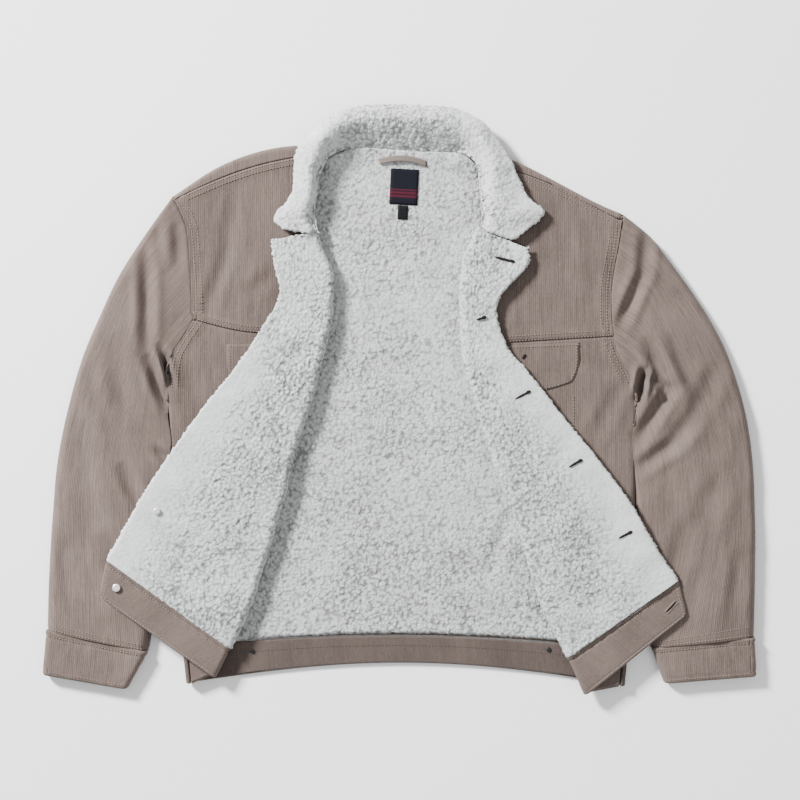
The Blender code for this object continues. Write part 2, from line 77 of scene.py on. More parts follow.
# %% The cutting tables
FrontRow = namedtuple("FrontRow", "side_x side_y fold_x fold_y edge_x edge_y bow")
SleeveRow = namedtuple("SleeveRow", "outer_x outer_y inner_x inner_y")
CollarRow = namedtuple("CollarRow", "seam_x seam_y seam_z ridge ridge_z edge_x edge_y edge_z")
SHELL, PILE, BACK_BAND = 1.5, 4.5, 3.8
SEAM, BODY_TOP, LOW, HIGH = 0.3, 13.0, 11.35, 18.55
ROLL = (HIGH - LOW) / 2
BACK_LINING_LEVEL = 1.8
SIDE_ROUND = 5.0
LAST, ARMPIT, GORGE, YOKE, BAND_TOP = 14, 8, 3, 6, 13
FRONT = {
    -1: [
        FrontRow(-276, 247, -88, 298, -160, 240, 9),
        FrontRow(-261, 212, -101, 262, -160, 225, 0),
        FrontRow(-257, 172, -103, 228, -159, 210, 0),
        FrontRow(-255, 145, -95, 192, -157, 195, 0),
        FrontRow(-254, 122, -81, 155, -153, 165, 0),
        FrontRow(-254, 108, -81, 120, -147, 127, -6),
        FrontRow(-253, 97, -85, 88, -170, 85, -12),
        FrontRow(-280, 52, -95, 45, -200, 40, 0),
        FrontRow(-284, 0, -106, 0, -240, -10, 0),
        FrontRow(-283, -62, -124, -55, -274, -57, 0),
        FrontRow(-280, -125, -139, -115, -306, -104, 0),
        FrontRow(-275, -190, -158, -180, -331, -147, 0),
        FrontRow(-270, -250, -180, -250, -346, -175, 0),
        FrontRow(-266, -300, -204, -304, -357, -195, 0),
        FrontRow(-261, -347, -222, -340, -366, -240, 0),
    ],
    1: [
        FrontRow(272, 220, 95, 290, 176, 225, 8),
        FrontRow(268, 190, 97, 262, 172, 210, 0),
        FrontRow(262, 158, 98, 228, 165, 197, 0),
        FrontRow(259, 135, 89, 200, 158, 184, 0),
        FrontRow(259, 118, 77, 172, 156, 163, 0),
        FrontRow(259, 104, 74, 120, 120, 118, 0),
        FrontRow(262, 77, 76, 66, 131, 66, 0),
        FrontRow(271, 50, 82, 27, 157, 35, 0),
        FrontRow(290, 4, 97, -20, 203, -24, 0),
        FrontRow(290, -60, 112, -70, 243, -73, 0),
        FrontRow(289, -125, 134, -130, 284, -128, 0),
        FrontRow(286, -190, 154, -190, 310, -174, 0),
        FrontRow(283, -250, 172, -250, 326, -199, 0),
        FrontRow(280, -305, 203, -315, 340, -220, 0),
        FrontRow(276, -350, 223, -361, 351, -262, 0),
    ],
}
SLEEVE = {
    -1: [
        SleeveRow(-312, 203, -287.5, -22),
        SleeveRow(-344, 153, -288.5, -48),
        SleeveRow(-366, 107, -289.5, -76),
        SleeveRow(-388, 55, -291, -106),
        SleeveRow(-405, -3, -292, -140),
        SleeveRow(-419, -70, -296, -176),
        SleeveRow(-426, -146, -300, -216),
        SleeveRow(-430, -212, -305, -262),
        SleeveRow(-432, -282, -309, -307.5),
    ],
    1: [
        SleeveRow(306, 202, 293, -20),
        SleeveRow(334, 167, 294.5, -46),
        SleeveRow(363, 127, 295.5, -74),
        SleeveRow(386, 90, 297, -104),
        SleeveRow(405, 50, 298, -138),
        SleeveRow(424, -12, 300, -175),
        SleeveRow(434, -80, 303, -216),
        SleeveRow(437, -180, 306, -260),
        SleeveRow(435, -291, 309, -303),
    ],
}
SHOULDER_TIP = {-1: (-277, 250), 1: (273.5, 227.5)}
CUFF = {
    -1: [SleeveRow(-432.3, -282.8, -309, -309.3), SleeveRow(-437, -336, -333, -354)],
    1: [SleeveRow(435, -291.8, 309, -304.4), SleeveRow(437, -338, 324, -347)],
}
SHOULDER = {
    -1: [(-276, 250), (-226, 283), (-180, 302), (-135, 311), (-92, 310)],
    1: [(100, 303), (133, 296), (168, 280), (238, 243), (272, 228)],
}
NECKLINE = [(-86, 290), (-66, 302), (-40, 304), (-10, 301.5), (25, 299), (60, 298.5), (78, 296), (92, 284)]
BACK_TOP = SHOULDER[-1] + NECKLINE + SHOULDER[1]
COLLAR = [
    CollarRow(-98, 201, 17.5, 0.30, 23, -140, 208, 18),
    CollarRow(-103, 228, 16, 0.30, 25, -153, 222, 18),
    CollarRow(-101, 246, 16, 0.35, 26, -131, 251, 18),
    CollarRow(-98, 268, 16, 0.40, 27, -126, 301, 18),
    CollarRow(-90, 288, 15.5, 0.50, 28, -113, 319, 17),
    CollarRow(-84, 298, 14, 0.60, 28, -88, 344, 15),
    CollarRow(-64, 306, 6, 0.68, 27, -64, 353, 14),
    CollarRow(-40, 304.5, 2.1, 0.70, 27, -38, 357, 14),
    CollarRow(-10, 302, 2.1, 0.70, 27, -8, 358, 14),
    CollarRow(25, 299.5, 2.1, 0.70, 27, 28, 357, 14),
    CollarRow(60, 299, 2.1, 0.70, 27, 66, 355, 14),
    CollarRow(78, 300, 6, 0.68, 27, 88, 345, 14),
    CollarRow(92, 291, 14, 0.60, 28, 107, 333, 15),
    CollarRow(96, 276, 15.5, 0.50, 28, 133, 295, 17),
    CollarRow(97, 258, 16, 0.40, 27, 146, 268, 18),
    CollarRow(99, 240, 16, 0.35, 26, 158, 245, 18),
    CollarRow(100, 222, 16, 0.30, 25, 176, 226, 18),
    CollarRow(100, 207, 17.5, 0.30, 23, 137, 194, 18),
]
WEARER = {-1: "right", 1: "left"}
print(len(FRONT[1]), "rows a front,", len(SLEEVE[1]), "rows a sleeve,", len(COLLAR), "collar sections")

# %% [markdown]
# The folds that show. Cloth laid out by hand keeps the soft troughs that it had when it was carried: one
# down each upper sleeve, short ones fanning from the armpits, and a shallow drag across the yoke. Each is a
# line with a depth and a half-width, deepest in its middle, with a low ridge pushed up on both sides.

# %% The folds
Fold = namedtuple("Fold", "x0 y0 x1 y1 depth width")
FOLDS = [
    Fold(-309, 190, -308, 48, 3.6, 8), Fold(-306, 50, -284, -8, 4.5, 7), Fold(-294, 66, -276, 16, 3.6, 5),
    Fold(-287, 52, -280, 20, 5.0, 4),
    Fold(-284, 214, -281, 168, -2.4, 7), Fold(-338, -84, -318, -124, 2.6, 8),
    Fold(-296, -62, -283, -74, 2.4, 6), Fold(-352, 60, -330, -20, 1.8, 12),
    Fold(-398, -60, -372, -150, 1.6, 14),
    Fold(-360, -170, -330, -240, 1.8, 11), Fold(-412, -180, -398, -262, 1.3, 10),
    Fold(-380, 20, -340, -40, 1.4, 10),
    Fold(-199, 262, -209, 183, 2.0, 9), Fold(-209, 186, -236, 104, 2.2, 8),
    Fold(-156, 153, -182, 131, 1.6, 9),
    Fold(-236, 230, -226, 120, -1.2, 12),
    Fold(302, 202, 298, 150, 2.6, 8), Fold(298, 156, 270, 90, 3.4, 7), Fold(302, 70, 332, 10, 4.2, 8),
    Fold(332, 16, 292, -48, 3.6, 8), Fold(318, 62, 352, -6, -2.6, 10), Fold(298, 36, 292, 2, 8.0, 5),
    Fold(301, 30, 322, 14, 5.0, 5),
    Fold(356, -24, 330, -58, 2.2, 10), Fold(334, -54, 294, -82, 2.4, 8), Fold(392, -90, 372, -150, 1.5, 13),
    Fold(350, -150, 330, -230, 1.8, 11), Fold(416, -190, 408, -262, 1.3, 9), Fold(390, 40, 360, -20, 1.5, 11),
    Fold(188, 232, 214, 176, 1.4, 10), Fold(232, 210, 236, 120, 1.3, 9), Fold(222, 52, 262, 30, 1.6, 8),
    Fold(272, 20, 236, -50, 1.8, 9), Fold(-262, 40, -246, -6, 1.6, 8),
]
BACK_FOLDS = [
    Fold(140, -134, 108, -208, 2.0, 9), Fold(-60, 140, 10, 120, 0.8, 16), Fold(-30, -60, 60, -82, 0.9, 18),
]


def folded(x, y, folds=FOLDS):
    """How far the folds raise the cloth at a point, in millimetres."""
    rise = 0.0
    for fold in folds:
        run_x, run_y = fold.x1 - fold.x0, fold.y1 - fold.y0
        length = sqrt(run_x * run_x + run_y * run_y)
        along = ((x - fold.x0) * run_x + (y - fold.y0) * run_y) / length
        off = ((x - fold.x0) * run_y - (y - fold.y0) * run_x) / length / fold.width
        if -fold.width < along < length + fold.width and abs(off) < 3.2:
            t = (along + fold.width) / (length + 2 * fold.width)
            swell = sin(pi * t) ** 0.8
            rise -= fold.depth * swell * (exp(-off * off) - 0.45 * exp(-(abs(off) - 1.7) ** 2 * 1.6))
    return rise


def ripple(x, y, seed, size=70.0):
    """The gentle unevenness of cloth at rest, from -1 to 1."""
    broad = noise.noise(Vector((x / size, y / size, seed)))
    return broad + 0.4 * noise.noise(Vector((x, y, seed)) / size * 2.3)


print(len(FOLDS), "folds on the shell,", len(BACK_FOLDS), "on the back lining")

# %% [markdown]
# Shader maths reads best as a formula. This class wraps a node socket and gives it the arithmetic
# operators, each of which adds one Math node. Anything that isn't a plain number goes through node().

# %% A small language for shaders


class Wire:
    def __init__(self, tree, socket):
        self.tree, self.socket = tree, socket

    def math(self, operation, other=None, swap=False):
        made = self.tree.nodes.new("ShaderNodeMath")
        made.operation = operation
        values = [self, other] if other is not None else [self]
        for slot, value in zip(made.inputs, reversed(values) if swap else values):
            if isinstance(value, Wire):
                self.tree.links.new(value.socket, slot)
            else:
                slot.default_value = value
        return Wire(self.tree, made.outputs[0])

    def __add__(self, other):
        return self.math("ADD", other)

    def __sub__(self, other):
        return self.math("SUBTRACT", other)

    def __rsub__(self, other):
        return self.math("SUBTRACT", other, swap=True)

    def __mul__(self, other):
        return self.math("MULTIPLY", other)

    __radd__, __rmul__ = __add__, __mul__


class Finish:
    """A material with a Principled shader, and one method that adds any node to it."""

    def __init__(self, name, roughness, metallic=0.0, sheen=0.0):
        self.material = bpy.data.materials.new(name)
        self.material.use_nodes = True
        self.tree = self.material.node_tree
        self.shader = self.tree.nodes["Principled BSDF"]
        self.shader.inputs["Roughness"].default_value = roughness
        self.shader.inputs["Metallic"].default_value = metallic
        self.shader.inputs["Sheen Weight"].default_value = sheen
        self.shader.inputs["Sheen Roughness"].default_value = 0.5
        if not metallic:
            self.shader.inputs["Specular IOR Level"].default_value = 0.12

    def node(self, kind, output=0, settings=None, **inputs):
        made = self.tree.nodes.new(kind)
        for key, value in (settings or {}).items():
            setattr(made, key, value)
        for key, value in inputs.items():
            slot = made.inputs[key.replace("_", " ")]
            if isinstance(value, Wire):
                self.tree.links.new(value.socket, slot)
            else:
                slot.default_value = value
        return Wire(self.tree, made.outputs[output])

    def place(self, scale=(1, 1, 1), chart=True):
        """The cloth's own chart in metres, stretched by scale."""
        source = self.node("ShaderNodeTexCoord", output=2 if chart else 3)
        return self.node("ShaderNodeMapping", Vector=source, Scale=scale)

    def speckle(self, scale, size=(1, 1, 1), detail=2.0, rough=0.5):
        return self.node("ShaderNodeTexNoise", Vector=self.place(size), Scale=scale, Detail=detail,
                         Roughness=rough)

    def between(self, low, high, factor):
        made = self.tree.nodes.new("ShaderNodeMix")
        made.data_type = "RGBA"
        for slot, value in ((made.inputs[6], low), (made.inputs[7], high), (made.inputs[0], factor)):
            if isinstance(value, Wire):
                self.tree.links.new(value.socket, slot)
            else:
                slot.default_value = (*value, 1)
        return Wire(self.tree, made.outputs[2])

    def vector(self, operation, *values):
        made = self.tree.nodes.new("ShaderNodeVectorMath")
        made.operation = operation
        for slot, value in zip(made.inputs, values):
            if isinstance(value, Wire):
                self.tree.links.new(value.socket, slot)
            else:
                slot.default_value = value
        return Wire(self.tree, made.outputs[0])

    def colour(self, wire):
        self.tree.links.new(wire.socket, self.shader.inputs["Base Color"])

    def bump(self, height, strength, distance):
        made = self.node("ShaderNodeBump", Height=height, Strength=strength, Distance=distance)
        self.tree.links.new(made.socket, self.shader.inputs["Normal"])


print("Shader tools ready")

# %% [markdown]
# Corduroy. Wales run the length of each piece, about six to the centimetre here, and the brushed pile
# between them catches light unevenly: long pale and dark streaks, and broad cloudy patches where a hand
# has stroked the nap. The chart of each piece is in metres, so the wales keep one size everywhere.

# %% Corduroy and its plainer facing


def corduroy(name, base, wales=1.0):
    finish = Finish(name, 0.92, sheen=0.12)
    wave = finish.node("ShaderNodeTexWave", output=1, settings={"wave_type": "BANDS", "bands_direction": "X"},
                       Vector=finish.place(), Scale=132.0, Distortion=1.6, Detail=2.0, Detail_Scale=0.5)
    streak = finish.speckle(380.0, (1, 0.06, 1), 4.0, 0.65)
    fleck = finish.speckle(520.0, (1, 0.4, 1), 3.0, 0.65)
    cloud = finish.speckle(16.0, (1, 0.5, 1), 4.0, 0.6)
    shade = wave * (0.22 * wales) + streak * (1.3 * wales + 0.2) + fleck * 0.9 + cloud * 1.3
    shade = shade - (0.11 * wales + 0.65 * wales + 0.1 + 0.45 + 0.65)
    dark = tuple(value * 0.62 for value in base)
    pale = tuple(min(value * 1.42, 1) for value in base)
    finish.colour(finish.between(dark, pale, shade + 0.5))
    finish.bump(wave * (wales * 0.6) + streak * 0.6 + fleck * 0.7, 0.5, 0.0006)
    return finish.material


TAUPE = (0.119, 0.090, 0.078)
cord = corduroy("Fine-wale corduroy", TAUPE)
body_cord = corduroy("Corduroy of the body", tuple(value * 0.87 for value in TAUPE))
facing_cord = corduroy("Corduroy facing", tuple(value * 0.95 for value in TAUPE), 0.25)
# A darkened copy of the facing's corduroy for the back band, standing for the shade it lies in: painted
# shade.
shaded_cord = corduroy("Corduroy in shade", tuple(value * 0.62 for value in TAUPE), 0.4)
print("Four corduroys mixed")

# %% [markdown]
# Sherpa. The big curls are real height in the mesh, and the small ones are in the finish, as cells about five
# millimetres across with painted shade in the hollows between them. Wearing flattens the pile towards the
# free edges, and the same values, which each point carries in an attribute, also paint it lighter there and
# darker away from them: painted light and shade.

# %% Sherpa


def sherpa(name, tip, hollow, size=0.0052):
    finish = Finish(name, 0.96, sheen=0.2)
    wear_and_shade = finish.node("ShaderNodeAttribute", output=2, settings={"attribute_name": "wear_and_shade"})
    spot = finish.place(chart=False)
    stir = finish.node("ShaderNodeTexNoise", output=1, Vector=spot, Scale=150.0, Detail=2.0)
    spot = finish.vector("MULTIPLY_ADD", stir, (0.0055, 0.0055, 0.0055), spot)
    away = finish.node("ShaderNodeTexVoronoi", settings={"feature": "SMOOTH_F1"}, Vector=spot, Scale=1 / size,
                       Smoothness=0.6)
    fine = finish.node("ShaderNodeTexVoronoi", Vector=spot, Scale=2.3 / size)
    clump = finish.node("ShaderNodeTexNoise", Vector=spot, Scale=38.0, Detail=2.0)
    fibre = finish.node("ShaderNodeTexNoise", Vector=spot, Scale=900.0, Detail=2.0)
    # curl is low in the hollows between the cells, where the colour below is darker: painted shade.
    curl = 1.0 - away * away * 1.5 - fine * 0.28
    rough = 1.0 - wear_and_shade.math("MAXIMUM", 0.0).math("MINIMUM", 0.85)
    # The wear values fade that hollow shade where the pile is flat and lighten the colour further: painted
    # light.
    shade = (curl - 0.62) * rough * 1.25 + (clump - 0.5) * 0.6 + wear_and_shade * 0.34 + (fibre - 0.5) * 0.4 + 0.61
    finish.colour(finish.between(hollow, tip, shade))
    finish.bump(curl * rough + fibre * 0.25, 0.7, 0.0020)
    return finish.material


fleece = sherpa("Sherpa of the back", (0.505, 0.517, 0.515), (0.19, 0.195, 0.19), 0.0040)
flap_fleece = sherpa("Sherpa of the fronts", (0.54, 0.552, 0.552), (0.19, 0.194, 0.194), 0.0041)
collar_fleece = sherpa("Sherpa of the collar", (0.62, 0.63, 0.627), (0.25, 0.255, 0.252), 0.0042)
print("Sherpa mixed")

# %% [markdown]
# Metal, thread, tape and the woven labels. The labels carry no words: a dark ground with a quiet band of
# maroon stripes stands in for whatever a maker would weave there.

# %% Small finishes


def plain(name, colour, roughness, metallic=0.0, grain=300.0, depth=0.2):
    finish = Finish(name, roughness, metallic)
    noise_wire = finish.node("ShaderNodeTexNoise", Vector=finish.place(chart=False), Scale=grain, Detail=2.0)
    darker, lighter = tuple(c * 0.8 for c in colour), tuple(min(c * 1.2, 1) for c in colour)
    finish.colour(finish.between(darker, lighter, noise_wire))
    finish.bump(noise_wire, depth, 0.0003)
    return finish.material


def woven(name, ground, band=None):
    finish = Finish(name, 0.75)
    weave = finish.node("ShaderNodeTexWave", output=1, settings={"bands_direction": "Y"},
                        Vector=finish.place(), Scale=500.0)
    colour = finish.between(ground, tuple(c * 1.8 + 0.003 for c in ground), weave)
    if band:
        across = finish.node("ShaderNodeSeparateXYZ", output=1, Vector=finish.place())
        stripes = finish.node("ShaderNodeTexWave", output=1, settings={"bands_direction": "Y"},
                              Vector=finish.place(), Scale=75.0)
        low = across.math("GREATER_THAN", band[1]) * across.math("LESS_THAN", band[2])
        colour = finish.between(colour, band[0], low * (stripes * 0.75 + 0.1))
    finish.colour(colour)
    finish.bump(weave, 0.3, 0.0002)
    return finish.material


silver = plain("Button metal", (0.80, 0.79, 0.76), 0.32, 0.6, depth=0.05)
black = plain("Dark metal", (0.02, 0.02, 0.022), 0.45, 0.6, depth=0.05)
thread = plain("Topstitch thread", (0.215, 0.17, 0.145), 0.8)
pale_thread = plain("Facing thread", (0.25, 0.205, 0.175), 0.8)
shaded_thread = plain("Thread in shade", (0.085, 0.068, 0.058), 0.8)
# The buttonholes' near-black stands for the shade inside each slit and its dark thread: painted shade, partly
# the thread's own colour.
slit_thread_and_shade = plain("Buttonhole slit", (0.012, 0.010, 0.009), 0.95)
tape = plain("Loop tape", (0.15, 0.122, 0.105), 0.85, grain=1500)
label = woven("Neck label", (0.0020, 0.0022, 0.0050), ((0.075, 0.006, 0.018), 0.008, 0.019))
tab = woven("Size tab", (0.002, 0.002, 0.003))
print("Small finishes mixed")

# %% [markdown]
# One helper lays all the cloth. It makes a grid, works out where each of its points lies, pushes the
# points along the surface's own normals for folds or pile, lets the free edges turn down, and gives the
# sheet a wall with Solidify. The chart, how far a point lies across and down its piece, becomes the UV map.
# Blender offsets its noise vectors by the clock, so a fixed seed makes the pile the same in each run.

# %% Laying cloth
NOISE_SEED = 7
noise.seed_set(NOISE_SEED)


def lerp(a, b, t):
    return a + (b - a) * t


def smooth(t):
    t = max(0.0, min(1.0, t))
    return t * t * (3 - 2 * t)


def spline(points, t):
    last = len(points) - 1
    i = max(0, min(int(t), last - 1))
    f = t - i
    before, here = points[max(i - 1, 0)], points[i]
    after, beyond = points[i + 1], points[min(i + 2, last)]
    return tuple(
        b + 0.5 * f * (c - a + f * (2 * a - 5 * b + 4 * c - d + f * (3 * (b - c) + d - a)))
        for a, b, c, d in zip(before, here, after, beyond)
    )


def steps(start, end, count):
    return [start + (end - start) * i / count for i in range(count + 1)]


def curls(point, seed, size=5.0):
    """The height of sherpa pile, from 0 in a hollow to 1 on a curl."""
    spot = Vector((point[0] / size, point[1] / size, point[2] / size + seed))
    spot += noise.noise_vector(spot * 0.7) * 0.45
    near = noise.voronoi(spot)[0]
    curl = max(0.0, 1 - (near[0] / 0.8) ** 2)
    clump = 0.5 + 0.5 * noise.noise(Vector((point[0] / 17, point[1] / 17, seed + 5)))
    return min(1.0, max(0.0, 0.62 * curl + 0.55 * clump * smooth((near[1] - near[0]) * 2.2)))


def settle(name, mesh, finish, replaced, slot_name):
    mesh.materials.append(finish)
    mesh.shade_smooth()
    piece = bpy.data.objects.new(name, mesh)
    bpy.context.collection.objects.link(piece)
    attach(piece, "root")
    if replaced:
        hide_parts(*replaced)
    return piece


NARROWEST_SHEET = 0.01


def spread(far, kept, along_row):
    """The greatest length of the kept cells along any row, or down any column."""
    ends = {}
    for i, j in kept:
        line, last = (j, (j, i + 1)) if along_row else (i, (j + 1, i))
        low, high = ends.get(line, (far[j, i], far[last]))
        ends[line] = min(low, far[j, i]), max(high, far[last])
    return float(max(high - low for low, high in ends.values()))


def cloth(name, across, along, place, side, finish, replaced, slot_name="corduroy", wall=1.3, lift=0.0,
          relief=None, pile=None, wear_and_shade=None, turned=(), chart=None, keep=None, ragged=0.0,
          thick_edge=4.0):
    """One piece of cloth, laid by place(column, row) and given relief, pile, edges, a chart and a wall."""
    points = np.array([[place(c, r) for c in across] for r in along], dtype=float)
    step_s = np.linalg.norm(np.diff(points, axis=1), axis=2)
    step_t = np.linalg.norm(np.diff(points, axis=0), axis=2)
    s = np.concatenate([np.zeros((len(along), 1)), np.cumsum(step_s, axis=1)], axis=1)
    t = np.concatenate([np.zeros((1, len(across))), np.cumsum(step_t, axis=0)], axis=0)
    by_column = np.gradient(points, axis=1)
    by_row = np.gradient(points, axis=0)
    normal = np.cross(by_column, by_row)
    normal /= np.maximum(np.linalg.norm(normal, axis=2, keepdims=True), 1e-9)
    normal *= side
    height = np.full(s.shape, float(lift))
    edges = {"first": s, "last": s[:, -1:] - s, "top": t, "bottom": t[-1:, :] - t}
    for j in range(len(along)):
        for i in range(len(across)):
            reach = {edge: far[j, i] for edge, far in edges.items()}
            if relief:
                height[j, i] += relief(points[j, i], reach)
            if pile:
                depth, seed, size = pile
                worn = max(0.0, min(0.8, wear_and_shade(points[j, i], reach)))
                height[j, i] += depth * ((1 - worn) * curls(points[j, i], seed, size) + worn * 0.75)
    for edge in turned:
        near = np.clip(1 - edges[edge] / thick_edge, 0, 1)
        height -= (1 - np.sqrt(1 - near ** 2 * 0.98)) * thick_edge * 0.8
    final = points + normal * height[:, :, None]
    if ragged:
        for j in range(len(along)):
            for i in range(len(across)):
                reach = min(edges[edge][j, i] for edge in turned) if turned else 99
                if reach < 5:
                    wobble = noise.noise_vector(Vector((final[j, i][0] / 2.7, final[j, i][1] / 2.7, 3.3)))
                    final[j, i][:2] += np.array(wobble[:2]) * ragged * (1 - reach / 5)
    bm = bmesh.new()
    cells_x, cells_y = len(across) - 1, len(along) - 1
    bmesh.ops.create_grid(bm, x_segments=cells_x, y_segments=cells_y, size=0.5)
    charted = bm.loops.layers.uv.new("Chart")
    # Each point's wear value also goes to the finish, where it paints the sherpa lighter: painted light.
    wear_and_shade_layer = bm.verts.layers.float.new("wear_and_shade")
    dropped, place_of = [], {}
    for vert in bm.verts:
        i, j = round((vert.co.x + 0.5) * cells_x), round((vert.co.y + 0.5) * cells_y)
        place_of[vert] = (i, j)
        reach = {edge: far[j, i] for edge, far in edges.items()}
        vert[wear_and_shade_layer] = wear_and_shade(points[j, i], reach) if wear_and_shade else 0.0
    for face in bm.faces:
        corners = [place_of[vert] for vert in face.verts]
        if keep and not keep(min(c[0] for c in corners), min(c[1] for c in corners)):
            dropped.append(face)
        for loop in face.loops:
            i, j = place_of[loop.vert]
            spot = chart(points[j, i], s[j, i], t[j, i], j) if chart else (s[j, i], t[j, i])
            loop[charted].uv = (spot[0] * MM, spot[1] * MM)
    for vert, (i, j) in place_of.items():
        vert.co = Vector(final[j, i]) * MM
    bmesh.ops.delete(bm, geom=dropped, context="FACES")
    bmesh.ops.remove_doubles(bm, verts=bm.verts, dist=0.00002)
    if side < 0:
        bmesh.ops.reverse_faces(bm, faces=bm.faces)
    kept = [(i, j) for j in range(cells_y) for i in range(cells_x) if not keep or keep(i, j)]
    mesh = bpy.data.meshes.new(name)
    bm.to_mesh(mesh)
    bm.free()
    piece = settle(name, mesh, finish, replaced, slot_name)
    walls = piece.modifiers.new("Wall", "SOLIDIFY")
    walls.thickness = wall * MM
    walls.offset = -1
    wide, long = spread(s, kept, 1) * MM, spread(t, kept, 0) * MM
    if min(wide, long) < NARROWEST_SHEET:
        print(f"{name}: a tape of {wide * 1000:.0f} by {long * 1000:.0f} mm")
        return piece
    print(f"{name}: {cells_x} by {cells_y} cells, {wide * 1000:.0f} by {long * 1000:.0f} mm")
    return piece


# %% [markdown]
# The fronts. On a real jacket the shell and the lining are sewn together at the free edge and the hem,
# and turn over as one along the roll. So both are laid on one surface: side seam, lower leg, half turn,
# and back out to the free edge. The shell lies inside the turn and the sherpa outside it.

# %% The surface of a front


@lru_cache(maxsize=None)
def front_row(side, r):
    return FrontRow(*spline(FRONT[side], r))


@lru_cache(maxsize=None)
def fold_frame(side, r):
    above, below = front_row(side, max(r - 0.1, 0)), front_row(side, min(r + 0.1, LAST))
    run = Vector((below.fold_x - above.fold_x, below.fold_y - above.fold_y)).normalized()
    inward = Vector((-run.y, run.x))
    if inward.x * side > 0:
        inward = -inward
    row = front_row(side, r)
    return Vector((row.fold_x, row.fold_y)) - inward * (PILE + SEAM / 2 + ROLL), inward


def front_place(side):
    def place(column, r):
        part, t = column
        row = front_row(side, r)
        axis, inward = fold_frame(side, r)
        curl = smooth((r - ARMPIT) / 0.4)
        if part == "side":
            turn = t * pi / 2
            inset = (SHELL + SEAM / 2) * curl + SIDE_ROUND * lerp(t, 1 - cos(turn), curl)
            return row.side_x - side * inset, row.side_y, lerp(LOW, lerp(2.0, LOW, sin(turn)), curl)
        if part == "lower":
            start = Vector((row.side_x - side * (SIDE_ROUND + 1.65 * curl), row.side_y))
            point = start.lerp(axis, t)
            return point.x, point.y + row.bow * sin(pi * t), LOW
        if part == "roll":
            turn = radians(t)
            point = axis + inward * ROLL * cos(turn)
            return point.x, point.y, LOW + ROLL + ROLL * sin(turn)
        point = axis.lerp(Vector((row.edge_x, row.edge_y)), t)
        return point.x, point.y, HIGH
    return place


def front_columns(side_count, leg, roll, edge):
    columns = [("side", t) for t in steps(0, 1, side_count)] if side_count else [("lower", 0.02)]
    columns += [("lower", t) for t in steps(0, 1, leg)[1:]]
    columns += [("roll", angle) for angle in steps(-90, 90, roll)[1:]]
    return columns + [("upper", t) for t in steps(0, 1, edge)[1:]]


def no_roll_above_gorge(columns, rows):
    first_roll = columns.index(("lower", 1.0))
    return lambda column, row: column < first_roll or rows[row] >= GORGE


def body_chart(point, s, t, row):
    return point[0], point[1]


def welt(reach, along):
    """A seam's raised and puckered strip, 10 mm wide, at a distance from the seam."""
    if reach > 13:
        return 0.0
    strip = smooth((reach + 0.5) / 1.5) * (1 - smooth((reach - 9.5) / 2.5))
    pucker = 0.30 * sin(along * 0.95) + 0.25 * noise.noise(Vector((along / 6, reach / 8, 1.0)))
    return strip * (0.75 + pucker) - 0.4 * exp(-(reach / 1.1) ** 2)


def shell_folds(x, y):
    return folded(x, y) + 0.8 * ripple(x, y, 2.0)


def shell_relief(point, reach):
    """Folds and ripples on what faces up; nothing where the cloth is turned under."""
    if point[2] > LOW + 1:
        return 0.0
    rise = shell_folds(point[0], point[1])
    if point[1] > front_row(1 if point[0] > 0 else -1, ARMPIT).side_y:
        rise += welt(reach["first"] - SIDE_ROUND, reach["top"])
    return rise


def yoke_relief(point, reach):
    if point[2] > LOW + 1:
        return 0.0
    return shell_relief(point, reach) + welt(reach["bottom"], point[0]) + welt(reach["top"], point[0])


def panel_relief(point, reach):
    if point[2] > LOW + 1:
        return 0.0
    return shell_relief(point, reach) - 0.4 * exp(-(reach["top"] / 1.6) ** 2)


# %% [markdown]
# The shell of a front is a yoke and a panel, with a seam between them and double topstitching along the
# armhole. Both are laid on the inner side of the turn, so that they face up below it and down above it.

# %% The shell of the fronts
for side in (-1, 1):
    hand = WEARER[side]
    columns = front_columns(6, 48, 6, 16)
    yoke_rows = steps(0, GORGE, 26) + steps(GORGE, YOKE - 0.005, 26)[1:]
    cloth(f"front_yoke_cloth_{hand}", columns, yoke_rows, front_place(side), side, body_cord,
          [f"front_yoke_{hand}"], lift=1.6, relief=yoke_relief, chart=body_chart,
          keep=no_roll_above_gorge(columns, yoke_rows))
    panel_rows = steps(YOKE + 0.005, BAND_TOP - 0.005, 110)
    cloth(f"front_panel_cloth_{hand}", columns, panel_rows, front_place(side), side, body_cord,
          [f"front_panel_{hand}"], lift=1.6, relief=panel_relief, chart=body_chart)

# %% [markdown]
# The sherpa of the fronts. Along the turn and the upper part of the roll it stands up in curls; towards the
# free edge it has been pressed flat by wearing the jacket closed. The pile's depth follows that, and the same
# values paint the sherpa lighter towards the free edge and darker near the roll: painted light and shade.

# %% The lining of the fronts


def lapel_place(side):
    """The fronts' surface, with the lapel's top drawn up under the collar along the roll."""
    place = front_place(side)

    def lapel(column, r):
        part, t = column
        near = (1 - smooth((r - GORGE) / 0.7)) * (1 - t if part == "upper" else 1) if r >= GORGE else 0
        if part in ("lower", "side") or near <= 0:
            return place(column, r)
        x, y, z = place(column, r - 0.5 * near)
        return x, y, z - 1.0 * near
    return lapel


